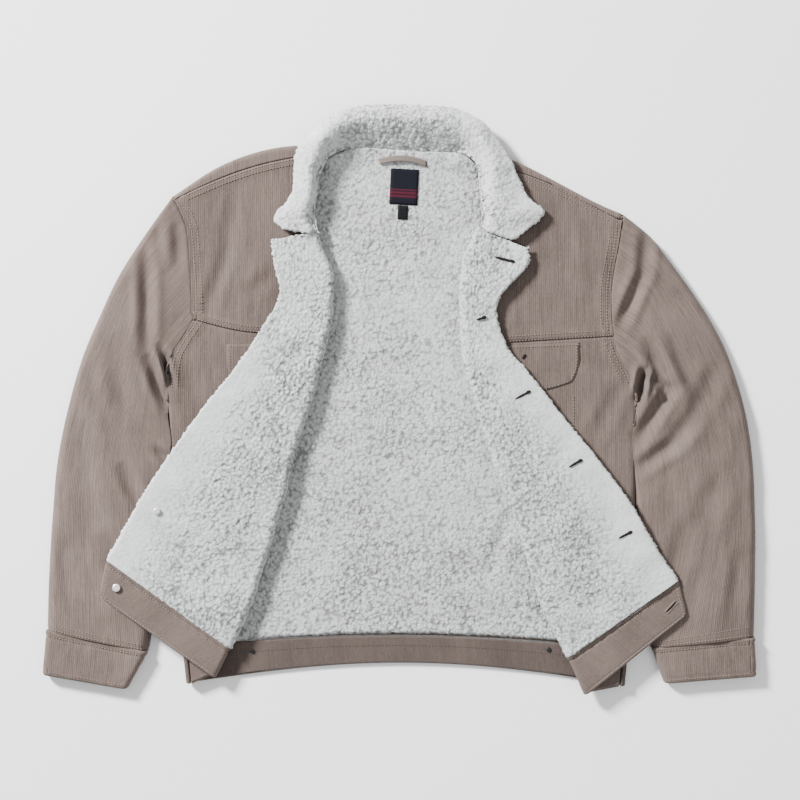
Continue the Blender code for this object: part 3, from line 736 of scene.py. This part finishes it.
for side in (-1, 1):
    hand = WEARER[side]
    columns = front_columns(0, 12, 16, 90)
    rows = steps(0, GORGE, 8)[:-1] + steps(GORGE, YOKE, 66)[:-1] + steps(YOKE, BAND_TOP - 0.01, 220)

    def swell(point, reach):
        if point[2] < LOW + ROLL:
            return 0.0
        return 2.0 * ripple(point[0], point[1], 7.0, 55.0) + 0.5

    # High towards the free edge and lower down, where the pile lies flat; the finish paints those parts
    # lighter, painted light, and leaves the pile near the roll darker, painted shade.
    def worn(point, reach):
        edge = (1 - smooth(reach["last"] / 95)) * lerp(0.3, 0.85, smooth((120 - point[1]) / 110))
        return edge + 0.12 + 0.35 * ripple(point[0], point[1], 17.0, 60.0)

    cloth(f"front_fleece_{hand}", columns, rows, lapel_place(side), -side, flap_fleece,
          [f"front_lining_{hand}"], "sherpa", wall=3.2, lift=SEAM / 2 + 3.2, relief=swell, wear_and_shade=worn,
          pile=(1.9, 11.0 + side, 4.6), turned=("last",), keep=no_roll_above_gorge(columns, rows),
          ragged=2.4)

# %% [markdown]
# The waistband. It is a doubled strip, so it is thicker than the shell, and its inner face is nearly plain.
# Across the back it wraps round both side edges to meet the fronts.

# %% The waistband


def band_end(side):
    """The fronts' surface, with the band's free end rounded off at its lower corner."""
    place = front_place(side)

    def rounded(column, r):
        part, t = column
        if part == "upper" and t > 0.94:
            corner = (t - 0.94) / 0.06
            low = LAST - (1 - sqrt(1 - corner * corner * 0.98)) * 0.24
            r = lerp(BAND_TOP, low, r - BAND_TOP) if r > BAND_TOP else r
        return place(column, r)
    return rounded


for side in (-1, 1):
    hand = WEARER[side]

    def band_wave(point, reach):
        rise = 0.8 * ripple(point[0], point[1], 4.0, 40.0)
        rise += 1.6 * exp(-((reach["top"] - 2.4) / 1.7) ** 2) - 0.9 * exp(-((reach["top"] - 6.2) / 1.2) ** 2)
        along = point[0] * 0.55
        return rise + 0.35 * sin(along) * exp(-(reach["top"] - 6) ** 2 / 18) - 0.6 * exp(
            -((reach["bottom"] - 4) / 1.0) ** 2) * (0.7 + 0.4 * sin(along * 1.7))
    cloth(f"front_band_cloth_{hand}", front_columns(0, 26, 10, 70), steps(BAND_TOP - 0.03, LAST, 40),
          band_end(side), -side, facing_cord, [f"front_hem_band_{hand}"], wall=3.4, lift=2.2,
          relief=band_wave, turned=("last", "bottom", "top"), thick_edge=2.6)


def back_flat(u, r):
    right, left = front_row(-1, r), front_row(1, r)
    bow = 14 * smooth((r - YOKE) / (BAND_TOP - YOKE)) if r <= BAND_TOP else lerp(14, 26, r - BAND_TOP)
    return lerp(right.side_x, left.side_x, u), lerp(right.side_y, left.side_y, u) + bow * sin(pi * u)


def band_place(column, r):
    part, t = column
    if part == "flat":
        return (*back_flat(t, r), 0)
    x, y = back_flat(0.0 if part == "right" else 1.0, r)
    sign, turn, half = (1 if part == "right" else -1), radians(t), BODY_TOP / 2
    return x + sign * (half - half * cos(turn)), y, half + half * sin(turn)


band_edge = 6.5 / 545
band_columns = [("right", a) for a in steps(80, -80, 10)]
band_columns += [("flat", u) for u in steps(band_edge * 1.6, 1 - band_edge * 1.6, 100)]
band_columns += [("left", a) for a in steps(-80, 80, 10)]
# The back band is laid in the darkened corduroy: painted shade.
cloth("back_band_cloth", band_columns, steps(BAND_TOP + 0.03, LAST, 20), band_place, 1, shaded_cord,
      ["back_hem_band"], wall=BACK_BAND, turned=("bottom",), thick_edge=1.5)

# %% [markdown]
# The back. Most of it is hidden, but the yoke rolls up over both shoulders and shows along the top. Its
# first rows make that half turn, and only the shoulders keep them, because the neckline has no roll.

# %% The back of the shell


def back_yoke_flat(index, r):
    x, y = spline(BACK_TOP, index)
    u = (x - BACK_TOP[0][0]) / (BACK_TOP[-1][0] - BACK_TOP[0][0])
    v = r / YOKE
    low_x, low_y = back_flat(u, YOKE)
    point_x, point_y = lerp(x, low_x, v), lerp(y, low_y, v)
    for side, weight in ((-1, 1 - u), (1, u)):
        corner = BACK_TOP[0] if side < 0 else BACK_TOP[-1]
        straight = lerp(corner[0], front_row(side, YOKE).side_x, v)
        point_x += weight ** 4 * (front_row(side, r).side_x - straight) * smooth(v * 4)
    return point_x, point_y


SHOULDER_STEPS = len(SHOULDER[1]) - 1


def back_yoke_place(index, r):
    """Flat on the floor, round the shoulders in a half turn, and on to the shoulder seam."""
    if r >= 0:
        x, y = back_yoke_flat(index, r)
        on_shoulder = index <= SHOULDER_STEPS or index >= len(BACK_TOP) - 1 - SHOULDER_STEPS
        return x, y - (BODY_TOP / 2 * (1 - smooth(r)) if on_shoulder else 0), 0
    x, y = back_yoke_flat(index, 0)
    side = -1 if index <= SHOULDER_STEPS else 1
    t = (index if side < 0 else len(BACK_TOP) - 1 - index) / SHOULDER_STEPS
    seam_x, seam_y, level = front_place(side)(("lower", max(0.0, min(1.0, t))), 0)
    half = BODY_TOP / 2
    turn = pi * min(1.0, -r / 2)
    point_y, point_z = y - half + half * sin(turn), half - half * cos(turn)
    if r < -2:
        share = -r - 2
        return lerp(x, seam_x, share), lerp(y - half, seam_y + 0.8, share), BODY_TOP
    return x, point_y, point_z


yoke_columns = steps(0, len(BACK_TOP) - 1, 68)
yoke_rows = steps(-3, -2, 5) + steps(-2, 0, 12)[1:] + steps(0, YOKE - 0.005, 24)[1:]


def shoulders_only(column, row):
    index = yoke_columns[column]
    return yoke_rows[row] >= 0 or index < SHOULDER_STEPS or index >= len(BACK_TOP) - 1 - SHOULDER_STEPS


cloth("back_yoke_cloth", yoke_columns, yoke_rows, back_yoke_place, 1, cord, ["back_yoke"], wall=1.4,
      chart=body_chart, keep=shoulders_only)
cloth("back_panel_cloth", steps(0, 1, 60), steps(YOKE + 0.005, BAND_TOP - 0.01, 50),
      lambda u, r: (*back_flat(u, r), 0), 1, cord, ["back_panel"], wall=1.4, chart=body_chart)

# %% [markdown]
# The sherpa of the back lies flat between the turned-out fronts and runs up under the collar. Its columns
# are evenly spaced, so that the curls keep one size, and only its top edge follows the neckline.

# %% The sherpa of the back


def top_of(x):
    """The height of the back's top edge above a place on the floor."""
    marks = sorted(BACK_TOP)
    return float(np.interp(x, [mark[0] for mark in marks], [mark[1] for mark in marks]))


def lining_place(u, v):
    """The back lining: from the neckline and shoulders at v = 0 to the waistband at v = 1."""
    fill = lerp(0.93, 0.955, smooth(v * 3)) - 0.05 * exp(-((v - 0.3) / 0.16) ** 2)
    x = lerp(-274, 272, u) * fill
    under_collar = exp(-(x / 98) ** 8)
    rise = 3.5 + 8 * smooth((abs(x) - 56) / 22)
    top_y = lerp(top_of(x) - 16, max(top_of(x), 298) + 5, under_collar)
    level = BACK_LINING_LEVEL + rise * under_collar * (1 - smooth(v * 22))
    return x, lerp(top_y, -300 + 14 * sin(pi * u), v), level


def back_relief(point, reach):
    return folded(point[0], point[1], BACK_FOLDS) + 1.2 * ripple(point[0], point[1], 9.0, 50.0)


# Patchy at random and lower towards the bottom; the finish flattens the pile and paints it lighter where this
# is high, a painted light, so the back is darker towards the bottom.
def back_wear_and_shade(point, reach):
    return 0.26 + 0.3 * ripple(point[0], point[1], 19.0, 80.0) - 0.12 * smooth((-point[1] - 100) / 150)


cloth("back_fleece", steps(0, 1, 190), steps(0, 1, 240), lining_place, -1, fleece, ["back_lining"], "sherpa",
      wall=2.6, lift=3.0, relief=back_relief, wear_and_shade=back_wear_and_shade, pile=(1.9, 21.0, 5.0), turned=("bottom",),
      ragged=2.0)

# %% [markdown]
# Sleeves. Each is two leaves of quilted cloth lying on each other, so its edges are round and its middle
# is nearly flat. The wales follow the sleeve, and the folds gather at the armpit and the elbow.

# %% The sleeves


def armhole_share(side, u):
    corners = [Vector((row.side_x, row.side_y)) for row in FRONT[side][:ARMPIT + 1]]
    lengths = [(b - a).length for a, b in zip(corners, corners[1:])]
    r = min(int(ARMPIT * u), ARMPIT - 1)
    return (sum(lengths[:r]) + lengths[r] * (ARMPIT * u - r)) / sum(lengths)


share_of = {side: lru_cache(maxsize=None)(lambda u, side=side: armhole_share(side, u)) for side in (-1, 1)}


def sleeve_point(side, u, k, gap=-1.0):
    def row_point(number):
        if number == 0:
            row = front_row(side, ARMPIT * u)
            tip_x, tip_y = SHOULDER_TIP[side]
            near = smooth(1 - u * ARMPIT)
            return lerp(row.side_x + side * gap, tip_x, near), lerp(row.side_y, tip_y, near)
        row = SLEEVE[side][number - 1]
        share = share_of[side](u)
        fuller = side * 9.5 * share ** 3 * smooth(number / 2) * (1 - smooth((number - 6) / 4))
        return lerp(row.outer_x, row.inner_x, share) - fuller, lerp(row.outer_y, row.inner_y, share)
    base = max(0, min(int(k), len(SLEEVE[side]) - 1))
    wanted = range(max(base - 1, 0), min(base + 2, len(SLEEVE[side])) + 1)
    points = {n: row_point(n) for n in wanted}
    table = [points.get(n, (0, 0)) for n in range(len(SLEEVE[side]) + 1)]
    return Vector(spline(table, k))


def sleeve_top_place(side):
    ends = lru_cache(maxsize=None)(lambda k: (sleeve_point(side, 0, k), sleeve_point(side, 1, k)))

    def place(u, k):
        outer, inner = ends(k)
        width = (inner - outer).length
        share = share_of[side](u)
        point = sleeve_point(side, u, k)
        out_near, in_near = share * width / 13, (1 - share) * width / 13
        level = sqrt(max(0.0, 1 - max(0.0, 1 - out_near) ** 2))
        rounding = smooth((k - 2.5) / 2.5)
        level *= lerp(1.0, sqrt(max(0.0, 1 - max(0.0, 1 - in_near) ** 2)), rounding)
        crown = 4.5 * sin(pi * min(1, share * 1.02)) * smooth(k / 1.5)
        tuck = 2.2 * exp(-(k * 22) ** 2)
        return point.x, point.y, 0.5 + (BODY_TOP - 0.5) * level + crown - tuck * level
    return place


def sleeve_chart(point, s, t, row):
    return s, t


def sleeve_relief(point, reach):
    damp = smooth((point[2] - 3) / 9)
    rise = 1.75 * folded(point[0], point[1]) + 1.7 * ripple(point[0], point[1], 5.0, 48.0)
    return rise * damp * smooth((reach["top"] + 4) / 16) - 0.8 * exp(-((reach["bottom"] - 2) / 1.4) ** 2)


SLEEVE_U = sorted(set(steps(0, 0.1, 14) + steps(0.1, 0.92, 44) + steps(0.92, 1, 12)))
for side in (-1, 1):
    hand = WEARER[side]
    rows = steps(0, len(SLEEVE[side]), 170)
    cloth(f"sleeve_top_cloth_{hand}", SLEEVE_U, rows, sleeve_top_place(side), side, cord,
          [f"sleeve_top_{hand}"], wall=1.6, relief=sleeve_relief, chart=sleeve_chart)

    def under_place(u, k, side=side):
        outer, inner = sleeve_point(side, 0, k, 2.1), sleeve_point(side, 1, k, 2.1)
        point = sleeve_point(side, u, k, 2.1)
        toward = (inner - outer).normalized()
        inset = 4.0 * (1 - smooth(u * 10)) - 4.0 * smooth((k - 1.5) / 2) * smooth((u - 0.9) * 10)
        return point.x + toward.x * inset, point.y + toward.y * inset, 3.0
    cloth(f"sleeve_under_cloth_{hand}", steps(0, 1, 24), steps(0, len(SLEEVE[side]), 60), under_place, side,
          cord, [f"sleeve_under_{hand}"], wall=3.0, chart=sleeve_chart)

# %% [markdown]
# Cuffs. A cuff is a short closed tube of doubled corduroy, pressed flat. The ring is laid as a grid whose
# first and last columns meet.

# %% The cuffs


def cuff_place(side):
    def place(turn, k):
        first, last = CUFF[side]
        outer = Vector((first.outer_x, first.outer_y)).lerp(Vector((last.outer_x, last.outer_y)), k)
        inner = Vector((first.inner_x, first.inner_y)).lerp(Vector((last.inner_x, last.inner_y)), k)
        width = (inner - outer).length
        half = (BODY_TOP + 1.2) / 2
        run = (inner - outer) / width
        part, t = turn
        if part in ("over", "under"):
            point = outer + run * lerp(half, width - half, t)
            return point.x, point.y, (2 * half if part == "over" else 0)
        angle = radians(t)
        centre = outer + run * half if part == "outer" else inner - run * half
        point = centre + run * half * sin(angle)
        return point.x, point.y, half + half * cos(angle)
    return place


def cuff_relief(point, reach):
    if point[2] < 7:
        return 0.0
    seam = 0.9 * exp(-((reach["top"] - 3) / 2.0) ** 2) - 0.7 * exp(-((reach["top"] - 7) / 1.0) ** 2)
    return 0.9 * ripple(point[0], point[1], 3.0, 30.0) + seam - 0.6 * exp(-((reach["bottom"] - 6) / 1.0) ** 2)


ring = [("over", t) for t in steps(0, 1, 44)] + [("inner", a) for a in steps(0, 180, 12)[1:-1]]
ring += [("under", t) for t in steps(1, 0, 44)] + [("outer", a) for a in steps(180, 360, 12)[1:-1]]
ring += [("over", 0)]
for side in (-1, 1):
    hand = WEARER[side]
    cloth(f"cuff_cloth_{hand}", ring, steps(-0.035, 1, 22), cuff_place(side), side, cord, [f"cuff_{hand}"],
          wall=2.6, relief=cuff_relief, turned=("bottom",), thick_edge=2.2)

# %% [markdown]
# The collar. It stands up from the neck seam, rolls over, and its two leaves fall outwards on the
# shoulders. The sherpa facing is on top and the corduroy under collar below, on one shared surface.

# %% The collar


def collar_place(t, k):
    row = CollarRow(*spline(COLLAR, k))
    seam = Vector((row.seam_x, row.seam_y, row.seam_z))
    edge = Vector((row.edge_x, row.edge_y, row.edge_z))
    run = (edge - seam).normalized()
    foot = seam + Vector((run.x, run.y, 0)) * 6.0
    ridge = seam.lerp(edge, row.ridge)
    ridge.z = row.ridge_z
    return spline([tuple(seam), tuple(foot), tuple(ridge), tuple(edge)], t)


def collar_relief(point, reach):
    return 1.8 * ripple(point[0], point[1], 13.0, 34.0)


# High on the collar's leaves towards their outer edge, where the pile is flat and painted lighter, painted
# light; near the neck seam and across the back it stays low, so the pile there is darker, painted shade.
def collar_wear_and_shade(point, reach):
    leaf = (1 - smooth(reach["last"] / 62)) * smooth((abs(point[0]) - 58) / 22)
    return 0.6 * leaf + 0.25 * ripple(point[0], point[1], 23.0, 40.0) + 0.05


cloth("collar_fleece", steps(0, 3, 44), steps(0, len(COLLAR) - 1, 330), collar_place, -1, collar_fleece,
      ["collar_facing"], "sherpa", wall=2.2, lift=3.4, relief=collar_relief, wear_and_shade=collar_wear_and_shade,
      pile=(1.9, 31.0, 5.2), turned=("last", "top", "bottom"), ragged=3.0)
cloth("collar_under_cloth", steps(0, 3, 20), steps(0, len(COLLAR) - 1, 110), collar_place, 1, cord,
      ["collar_under"], wall=1.0, lift=0.6)

# %% [markdown]
# Pocket flaps, one on each chest, half hidden by the turned-out fronts.

# %% The pocket flaps
POCKET_WIDTH, POCKET_DEPTH, POCKET_POINT = 104.0, 58.0, 10.0
POCKET_CENTRE = {-1: (-159, 68), 1: (168, 68)}


def pocket_place(side):
    centre_x, top_y = POCKET_CENTRE[side]

    def place(u, v):
        drop = POCKET_DEPTH - POCKET_POINT * abs(2 * u - 1) ** 1.5
        cut = 10 * max(0.0, v - 0.45) ** 2 * 3.3
        x = centre_x + (u - 0.5) * (POCKET_WIDTH - 2 * cut)
        return x, top_y - drop * v + (4 if side > 0 else 0) * (u - 0.5), 14.6
    return place


for side in (-1, 1):
    hand = WEARER[side]
    cloth(f"pocket_flap_cloth_{hand}", steps(0, 1, 40), steps(0, 1, 26), pocket_place(side), -1, body_cord,
          [f"pocket_flap_{hand}"], relief=lambda point, reach: 0.6 * ripple(point[0], point[1], 6.0, 30.0),
          chart=body_chart, turned=("first", "last", "bottom"), thick_edge=1.8, wall=1.2)

# %% [markdown]
# Labels and the hanger loop. A woven label is sewn down at its top and bottom, and the loop arches over it.

# %% Labels and loop
LINING_TOP = 6.9


def label_place(centre, size, tilt=-3.0):
    def place(u, v):
        x, y = (u - 0.5) * size[0], (v - 0.5) * size[1]
        turn = radians(tilt)
        turned_x, turned_y = x * cos(turn) - y * sin(turn), x * sin(turn) + y * cos(turn)
        return centre[0] + turned_x, centre[1] + turned_y, LINING_TOP
    return place


cloth("neck_label_cloth", steps(0, 1, 16), steps(0, 1, 20), label_place((5.7, 261), (34.5, 44)), 1, label,
      ["neck_label"], "woven_label", wall=0.6, lift=0.6, turned=("first", "last", "top", "bottom"),
      thick_edge=1.2)
cloth("size_tab_cloth", steps(0, 1, 8), steps(0, 1, 8), label_place((4.2, 229.5), (12.6, 17)), 1, tab,
      ["size_tab"], "woven_label", wall=0.6, lift=0.5, turned=("first", "last", "bottom"), thick_edge=1.0)


def loop_place(u, v):
    bend = sin(pi * u)
    return lerp(-24, 33, u), lerp(292, 289, u) + 5 * bend + (v - 0.5) * 7, LINING_TOP + 1.2 + 3.5 * bend


cloth("hanger_loop_tape", steps(0, 1, 30), steps(0, 1, 6), loop_place, 1, tape, ["hanger_loop"], "tape",
      wall=1.1, lift=0.4)

# %% [markdown]
# Metal. The buttons sit under the turned-out front, and only two of their backs show, as small domed discs.
# A spin of one outline makes each: flat below, rounded over the rim, and a little dished on top.

# %% Buttons and tacks


def turned(name, centre, radius, height, finish, node, slot_name):
    bm = bmesh.new()
    rim = [(0, 0), (radius * 0.96, 0), (radius, height * 0.2), (radius, height * 0.55),
           (radius * 0.9, height * 0.85), (radius * 0.72, height), (radius * 0.3, height * 0.92),
           (0, height * 0.92)]
    verts = [bm.verts.new(Vector((x, 0, z)) * MM) for x, z in rim]
    edges = [bm.edges.new(pair) for pair in zip(verts, verts[1:])]
    bmesh.ops.spin(bm, geom=verts + edges, cent=(0, 0, 0), axis=(0, 0, 1), angle=2 * pi, steps=28,
                   use_merge=True)
    bmesh.ops.remove_doubles(bm, verts=bm.verts, dist=0.00001)
    bmesh.ops.recalc_face_normals(bm, faces=bm.faces)
    bmesh.ops.translate(bm, verts=bm.verts, vec=Vector(centre) * MM)
    mesh = bpy.data.meshes.new(name)
    bm.to_mesh(mesh)
    bm.free()
    settle(name, mesh, finish, [node], slot_name)


def replace_disc(node, radius, finish, slot_name, rise=0.0, extra=0.0):
    low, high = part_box(node)
    centre = ((low[0] + high[0]) / 2 / MM, (low[1] + high[1]) / 2 / MM, low[2] / MM + rise)
    turned(f"{node}_metal", centre, radius, (high[2] - low[2]) / MM + extra, finish, node, slot_name)


for number in range(1, 7):
    replace_disc(f"button_{number}", 8.4, silver, "button_metal")
replace_disc("tack_back_5", 4.4, silver, "button_metal", 1.4, 1.6)
replace_disc("tack_back_6", 4.9, silver, "button_metal", 0.6, 0.6)
for hand in ("right", "left"):
    replace_disc(f"tab_tack_{hand}", 2.9, black, "dark_metal")
print("Ten pieces of metal turned")

# %% [markdown]
# Topstitching. A sewing machine leaves a row of short thread grains, each sunk a little at its ends. All
# the stitches of one colour are one mesh: a low ball, stretched and turned along its seam, many times over.

# %% Topstitching
STITCH, STITCH_GAP, THREAD = 2.7, 1.1, 0.52


def sew(bm, points):
    pitch, carried = STITCH + STITCH_GAP, 0.0
    for a, b in zip(points, points[1:]):
        length = (b - a).length
        if length < 1e-6:
            continue
        run = (b - a) / length
        at = pitch - carried
        while at <= length:
            spot = a + run * at
            turn = run.to_track_quat("X", "Z").to_matrix().to_4x4()
            size = Matrix.Diagonal((STITCH / 2 * MM, THREAD * MM, THREAD * 0.8 * MM, 1))
            bmesh.ops.create_icosphere(bm, subdivisions=1, radius=1.0,
                                       matrix=Matrix.Translation(spot * MM) @ turn @ size)
            at += pitch
        carried = length - (at - pitch)


def on_shell(points, extra=0.0):
    return [Vector((p.x, p.y, BODY_TOP + 1.15 + extra + shell_folds(p.x, p.y))) for p in points]


def on_sleeve(side, points_uk):
    place = sleeve_top_place(side)
    found = []
    for u, k in points_uk:
        x, y, z = place(u, k)
        found.append(Vector((x, y, z + 0.3 + sleeve_relief((x, y, z), {"top": 99, "bottom": 99}))))
    return found


shell_seams = bmesh.new()
for side in (-1, 1):
    place = front_place(side)
    armhole = [Vector(place(("side", 1.0), r)) for r in steps(0.1, ARMPIT - 0.3, 90)]
    for inset in (1.0, 8.0):
        sew(shell_seams, on_shell([p - Vector((side * inset, 0, 0)) for p in armhole]))
    yoke_line = [Vector(place(("lower", t), YOKE)) for t in steps(0.0, 0.62 if side < 0 else 0.72, 50)]
    for drop in (2.0, 8.0):
        sew(shell_seams, on_shell([p + Vector((0, drop, 0)) for p in yoke_line]))
    shoulder = [Vector(place(("lower", t), 0)) for t in steps(0.02, 0.82, 50)]
    for drop in (2.0, 8.0):
        sew(shell_seams, on_shell([p - Vector((0, drop, 0)) for p in shoulder]))
    pocket = pocket_place(side)
    outline = [Vector(pocket(lerp(0.035, 0.965, u), 0.95)) for u in steps(0, 1, 40)]
    ends = [Vector(pocket(0.965 if side > 0 else 0.035, v)) for v in steps(0.95, 0.03, 24)]
    heads = [Vector(pocket(u, 0.05)) for u in steps(0, 1, 24)]
    for path in (outline, ends, heads):
        sew(shell_seams, [p + Vector((0, 0, 0.3)) for p in path])
    below_pocket = 212 if side > 0 else -208
    sew(shell_seams, on_shell([Vector((below_pocket, y, 0)) for y in steps(8, -60, 20)]))
    for k in (8.93, 8.80):
        sew(shell_seams, on_sleeve(side, [(u, k) for u in steps(0.04, 0.96, 60)]))
    cuff = cuff_place(side)
    for k in (0.09, 0.90):
        sew(shell_seams, [Vector(cuff(("over", t), k)) + Vector((0, 0, 0.3)) for t in steps(0, 1, 30)])
mesh = bpy.data.meshes.new("shell_topstitching")
shell_seams.to_mesh(mesh)
shell_seams.free()
settle("shell_topstitching", mesh, thread, None, "corduroy")
print("Shell stitches:", len(mesh.polygons) // 20)

# %% [markdown]
# The waistband's own stitching is on its inner face, along both long edges and round the buttoned end. A
# buttonhole in sherpa is a near-black piece, wider where the button sits, that stands for the shade inside
# the slit and its dark thread: painted shade, partly the thread's colour. In the band its lips of thread show
# too.

# %% Band stitching and buttonholes
band_seams = bmesh.new()
for side in (-1, 1):
    place = front_place(side)
    for r in (BAND_TOP + 0.12, LAST - 0.1):
        row = [Vector(place(("upper", t), r)) + Vector((0, 0, 2.3)) for t in steps(0.02, 0.97, 60)]
        sew(band_seams, row)
    end_rows = steps(BAND_TOP + 0.12, LAST - 0.1, 14)
    sew(band_seams, [Vector(place(("upper", 0.965), r)) + Vector((0, 0, 2.3)) for r in end_rows])
back_seam = bmesh.new()
for r in (BAND_TOP + 0.3, LAST - 0.12):
    sew(back_seam, [Vector((*back_flat(u, r), BACK_BAND + 0.2)) for u in steps(0.1, 0.9, 120)])
mesh = bpy.data.meshes.new("back_band_topstitching")
back_seam.to_mesh(mesh)
back_seam.free()
settle("back_band_topstitching", mesh, shaded_thread, None, "corduroy")
mesh = bpy.data.meshes.new("band_topstitching")
band_seams.to_mesh(mesh)
band_seams.free()
settle("band_topstitching", mesh, pale_thread, None, "corduroy")

Buttonhole = namedtuple("Buttonhole", "x y length turn level")
BAND_HOLE_LEVEL = 21.2
BUTTONHOLES = [
    Buttonhole(128, 171, 27, -14, 24.4), Buttonhole(99, 99, 11, 20, 24.6), Buttonhole(150, 6, 22, 28, 24.5),
    Buttonhole(214, -77, 19, 30, 24.5), Buttonhole(274.5, -164, 19, 27, 24.5),
    Buttonhole(331, -252, 17, 47, BAND_HOLE_LEVEL), Buttonhole(152, 53, 7, 55, 15.4),
]
# Each dark piece fills a buttonhole with painted shade, partly standing for its dark thread.
holes = bmesh.new()
lips = bmesh.new()
for hole in BUTTONHOLES:
    spot = Matrix.Translation(Vector((hole.x, hole.y, hole.level)) * MM)
    spot = spot @ Matrix.Rotation(radians(hole.turn), 4, "Z")
    bmesh.ops.create_icosphere(holes, subdivisions=3, radius=1.0,
                               matrix=spot @ Matrix.Diagonal((hole.length / 2 * MM, 1.5 * MM, 0.9 * MM, 1)))
    if hole.level > BAND_HOLE_LEVEL:
        open_end = Matrix.Translation(Vector((hole.length * 0.34, 0, 0.2)) * MM)
        opening = Matrix.Diagonal((3.4 * MM, 2.1 * MM, 1.0 * MM, 1))
        bmesh.ops.create_icosphere(holes, subdivisions=3, radius=1.0, matrix=spot @ open_end @ opening)
    if hole.level == BAND_HOLE_LEVEL:
        for across in (-1, 1):
            for at in steps(-hole.length / 2, hole.length / 2, 16):
                bead = Matrix.Translation(Vector((at, across * 1.9, 0.1)) * MM)
                grain = Matrix.Diagonal((0.5 * MM, 1.1 * MM, 0.6 * MM, 1))
                bmesh.ops.create_icosphere(lips, subdivisions=1, radius=1.0, matrix=spot @ bead @ grain)
for name, built, finish in (("buttonhole_thread_and_shade", holes, slit_thread_and_shade), ("buttonhole_lips", lips, pale_thread)):
    mesh = bpy.data.meshes.new(name)
    built.to_mesh(mesh)
    built.free()
    settle(name, mesh, finish, None, "corduroy")
print(len(BUTTONHOLES), "buttonholes cut")

# %% [markdown]
# The studio: a pale floor, a large soft key light from the upper left, a weak fill, and a bright even sky.
# The camera hangs straight above on a long lens, so the jacket keeps its drawn proportions.

# %% Floor, light and camera
floor_bm = bmesh.new()
bmesh.ops.create_grid(floor_bm, x_segments=1, y_segments=1, size=6.0)
bmesh.ops.translate(floor_bm, verts=floor_bm.verts, vec=(0, 0, -0.0015))
floor_mesh = bpy.data.meshes.new("floor")
floor_bm.to_mesh(floor_mesh)
floor_bm.free()
floor_finish = Finish("Pale floor", 0.9)
floor_noise = floor_finish.node("ShaderNodeTexNoise", Vector=floor_finish.place(chart=False), Scale=3.0)
floor_finish.colour(floor_finish.between((0.945, 0.945, 0.945), (0.955, 0.955, 0.955), floor_noise))
floor_mesh.materials.append(floor_finish.material)
floor = bpy.data.objects.new("floor", floor_mesh)
bpy.context.collection.objects.link(floor)


def lamp(name, place, target, size, power, tint=(1, 1, 1)):
    data = bpy.data.lights.new(name, "AREA")
    data.size, data.energy, data.color = size, power, tint
    made = bpy.data.objects.new(name, data)
    made.location = place
    made.rotation_euler = (Vector(target) - Vector(place)).to_track_quat("-Z", "Y").to_euler()
    bpy.context.collection.objects.link(made)


lamp("key", (-3.04, 2.56, 2.32), (0, 0, 0), 0.8, 850)
lamp("fill", (1.8, -1.0, 2.2), (0, 0, 0), 2.0, 20)
world = bpy.data.worlds.new("studio")
world.use_nodes = True
world.node_tree.nodes["Background"].inputs["Color"].default_value = (0.98, 0.99, 1.0, 1)
world.node_tree.nodes["Background"].inputs["Strength"].default_value = 0.74
bpy.context.scene.world = world

camera_data = bpy.data.cameras.new("camera")
camera_data.lens = 88.5
camera = bpy.data.objects.new("camera", camera_data)
camera.location = (0.0007, 0.0, 2.415)
bpy.context.collection.objects.link(camera)
bpy.context.scene.camera = camera
print("Camera at", tuple(camera.location))
